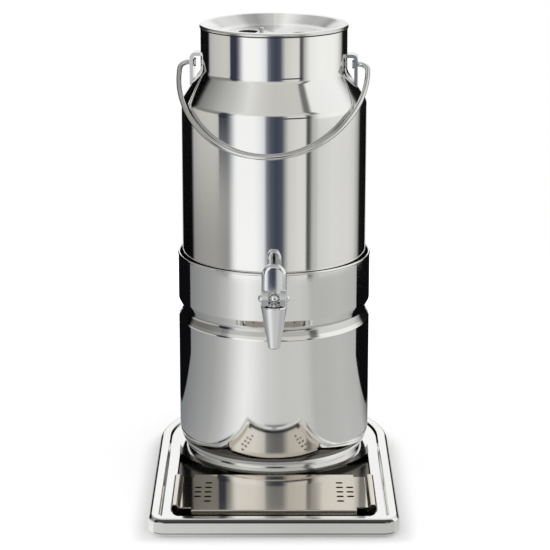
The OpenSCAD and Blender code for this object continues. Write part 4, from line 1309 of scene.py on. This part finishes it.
class DISPENSER_OT_small_parts(PieceOperator):
    """Give the kept solids their materials"""

    bl_idname = "dispenser.small_parts"
    bl_label = "Small parts"

    def execute(self, context):
        look = self.looks
        ear = polished("ear_polish", shade(look.steel, EAR_TONE), look.ear_gloss)
        plain = polished("plain_steel", shade(look.steel, WIRE_TONE), look.plain_gloss)
        rubber = moulded("foot_rubber", look.rubber, 0.6, 900.0)
        silicone = moulded("seal_silicone", look.silicone, 0.45, 700.0, 0.1)
        pack = moulded("pack_plastic", look.plastic, 0.4, 500.0)
        cap = moulded("cap_plastic", look.cap, 0.35, 500.0)
        kept = {
            "ear_left": ear, "ear_right": ear, "vent_stud": ear,
            "sleeve_screws": plain, "sleeve_nuts": plain, "shank_nut": plain,
            "tray_feet": rubber, "lid_seal": rubber,
            "outer_washer": silicone, "inner_washer": silicone, "valve_seal": silicone,
            "cold_pack": pack, "pack_cap": cap,
        }
        for node, material in kept.items():
            solid = frame["nodes"][node]
            solid.data.materials.clear()
            solid.data.materials.append(material)
        return {"FINISHED"}


class DISPENSER_OT_stage(PieceOperator):
    """Set up camera, floor and studio"""

    bl_idname = "dispenser.stage"
    bl_label = "Stage"

    def execute(self, context):
        scene = bpy.context.scene
        scene.view_settings.view_transform = "Standard"
        self.add_camera(scene)
        self.add_floor()
        self.add_studio(scene)
        return {"FINISHED"}

    def add_camera(self, scene):
        data = bpy.data.cameras.new("camera")
        data.sensor_width = SENSOR_MM
        data.lens = FOCAL_PX / FRAME_PX * SENSOR_MM
        data.shift_x = SHIFT_PX / FRAME_PX
        camera = bpy.data.objects.new("camera", data)
        bpy.context.collection.objects.link(camera)
        camera.location = AXIS + CAMERA_SPOT
        camera.rotation_euler = (radians(90 - CAMERA_DIP), 0, 0)
        scene.camera = camera

    def add_floor(self):
        """A round paper: white to the camera with the shadow kept, and toned by direction to the steel."""
        bm = bmesh.new()
        bmesh.ops.create_circle(bm, cap_ends=True, segments=128, radius=FLOOR_RADIUS)
        mesh = bpy.data.meshes.new("floor")
        bm.to_mesh(mesh)
        bm.free()
        floor = bpy.data.objects.new("floor", mesh)
        floor.location = AXIS
        bpy.context.collection.objects.link(floor)
        material, s = new_material("floor_paper")
        x, y = s.parts(s.place())[:2]
        turn = s.bearing(x, y)
        far = s.hypot(x, y)
        back = y + x * DARK_SKEW
        dark = s.rise(back, *DARK_BACK) * s.rise(back - s.math("ABSOLUTE", x) * DARK_SPREAD, *DARK_SIDE)
        dark = dark * s.rise(far, *DARK_RING) * s.fall(s.math("ABSOLUTE", turn), *DARK_GAP)
        toned = s.mix(dark, ring_of_tones(s, turn, FLOOR_TONES), FLOOR_DARK)
        mirrored = s.node("ShaderNodeEmission", inputs={"Color": toned, "Strength": 1.0})
        paper = s.node("ShaderNodeBsdfDiffuse", inputs={"Color": rgba(self.looks.floor)})
        white = s.node("ShaderNodeEmission", inputs={"Color": rgba(WHITE), "Strength": PAPER_WHITE})
        beside = s.most(s.hypot(x, s.most(y, 0.0)) - TRAY_HIGH.x, 0.0)
        ahead = s.most((TRAY_LOW.y - AXIS.y) - y, 0.0)
        gap = s.hypot(beside, ahead)
        shadow = s.blend(0.06 + s.rise(gap, *SHADOW_EDGE) * 0.34, paper, white)
        catch = s.blend(s.fall(far, *SHADOW_RING), white, shadow)
        lit = s.blend(s.ray("Is Glossy Ray"), paper, mirrored)
        shown = s.blend(s.ray("Is Camera Ray"), lit, catch)
        s.node("ShaderNodeOutputMaterial", inputs={"Surface": shown})
        mesh.materials.append(material)

    def add_studio(self, scene):
        """White to the camera, and light walls with dark gaps to the polished steel."""
        world = bpy.data.worlds.new("studio")
        scene.world = world
        world.use_nodes = True
        s = Shader(world.node_tree)
        x, y, z = s.parts(s.node("ShaderNodeTexCoord", output="Generated"))
        turn = s.bearing(x, y)
        rise = s.math("ARCSINE", z) * degrees(1)
        walls = ring_of_tones(s, turn, WALL_TONES)
        left = s.rise(-rise, *LEFT_FOOT) * 0.43 + s.rise(rise, *LEFT_TOP) * s.rise(turn, *LEFT_START) * 0.6
        left = left * s.fall(turn, *LEFT_END)
        right = s.rise(turn, *RIGHT_START) * s.rise(-rise, *RIGHT_FOOT) * 0.24
        walls = s.mix(left + right, walls, BLACK)
        post = s.band(turn, *POST_TURN) * s.fall(-rise, *POST_FOOT)
        rail = s.band(turn, *RAIL_TURN) * s.band(rise, *RAIL_RISE)
        walls = s.mix(s.most(post, rail), walls, GAP_DARK)
        above = ring_of_tones(s, turn, HIGH_TONES)
        corner = s.fall(turn, *CORNER_TURN)
        seen = s.mix(s.rise(rise - corner * 6, *WALL_TOP), walls, above)
        ceiling = s.mix(s.rise(y, 0.1, 0.35), CEILING_FRONT, CEILING_BACK)
        seen = s.mix(s.rise(rise, *CEILING_RISE), seen, ceiling)
        light = s.mix(s.ray("Is Glossy Ray"), ROOM_LIGHT, seen)
        shown = s.mix(s.ray("Is Camera Ray"), light, WHITE)
        back = s.node("ShaderNodeBackground", inputs={"Color": shown, "Strength": 1.0})
        s.node("ShaderNodeOutputWorld", inputs={"Surface": back})


class DISPENSER_PT_panel(Panel):
    """Lists the operators"""

    bl_idname = "DISPENSER_PT_panel"
    bl_label = "Milk Dispenser"
    bl_space_type = "VIEW_3D"
    bl_region_type = "UI"
    bl_category = "Dispenser"

    def draw(self, context):
        for operator in OPERATORS:
            self.layout.operator(operator.bl_idname)


GROUPS = {
    "dispenser_can": CanSizes,
    "dispenser_stand": StandSizes,
    "dispenser_tap": TapSizes,
    "dispenser_looks": Finishes,
}
OPERATORS = (
    DISPENSER_OT_can,
    DISPENSER_OT_lid,
    DISPENSER_OT_bail,
    DISPENSER_OT_sleeve,
    DISPENSER_OT_tray,
    DISPENSER_OT_plate,
    DISPENSER_OT_tap,
    DISPENSER_OT_lever,
    DISPENSER_OT_small_parts,
    DISPENSER_OT_stage,
)


def register():
    for cls in (*GROUPS.values(), *OPERATORS, DISPENSER_PT_panel):
        bpy.utils.register_class(cls)
    for name, group in GROUPS.items():
        setattr(bpy.types.Scene, name, PointerProperty(type=group))


def unregister():
    for name in GROUPS:
        delattr(bpy.types.Scene, name)
    for cls in (DISPENSER_PT_panel, *reversed(OPERATORS), *reversed(tuple(GROUPS.values()))):
        bpy.utils.unregister_class(cls)


def main():
    register()
    for operator in OPERATORS:
        family, name = operator.bl_idname.split(".")
        result = getattr(getattr(bpy.ops, family), name)()
        if result != {"FINISHED"}:
            raise RuntimeError(f"{operator.bl_label} did not finish")


if __name__ == "__main__":
    main()
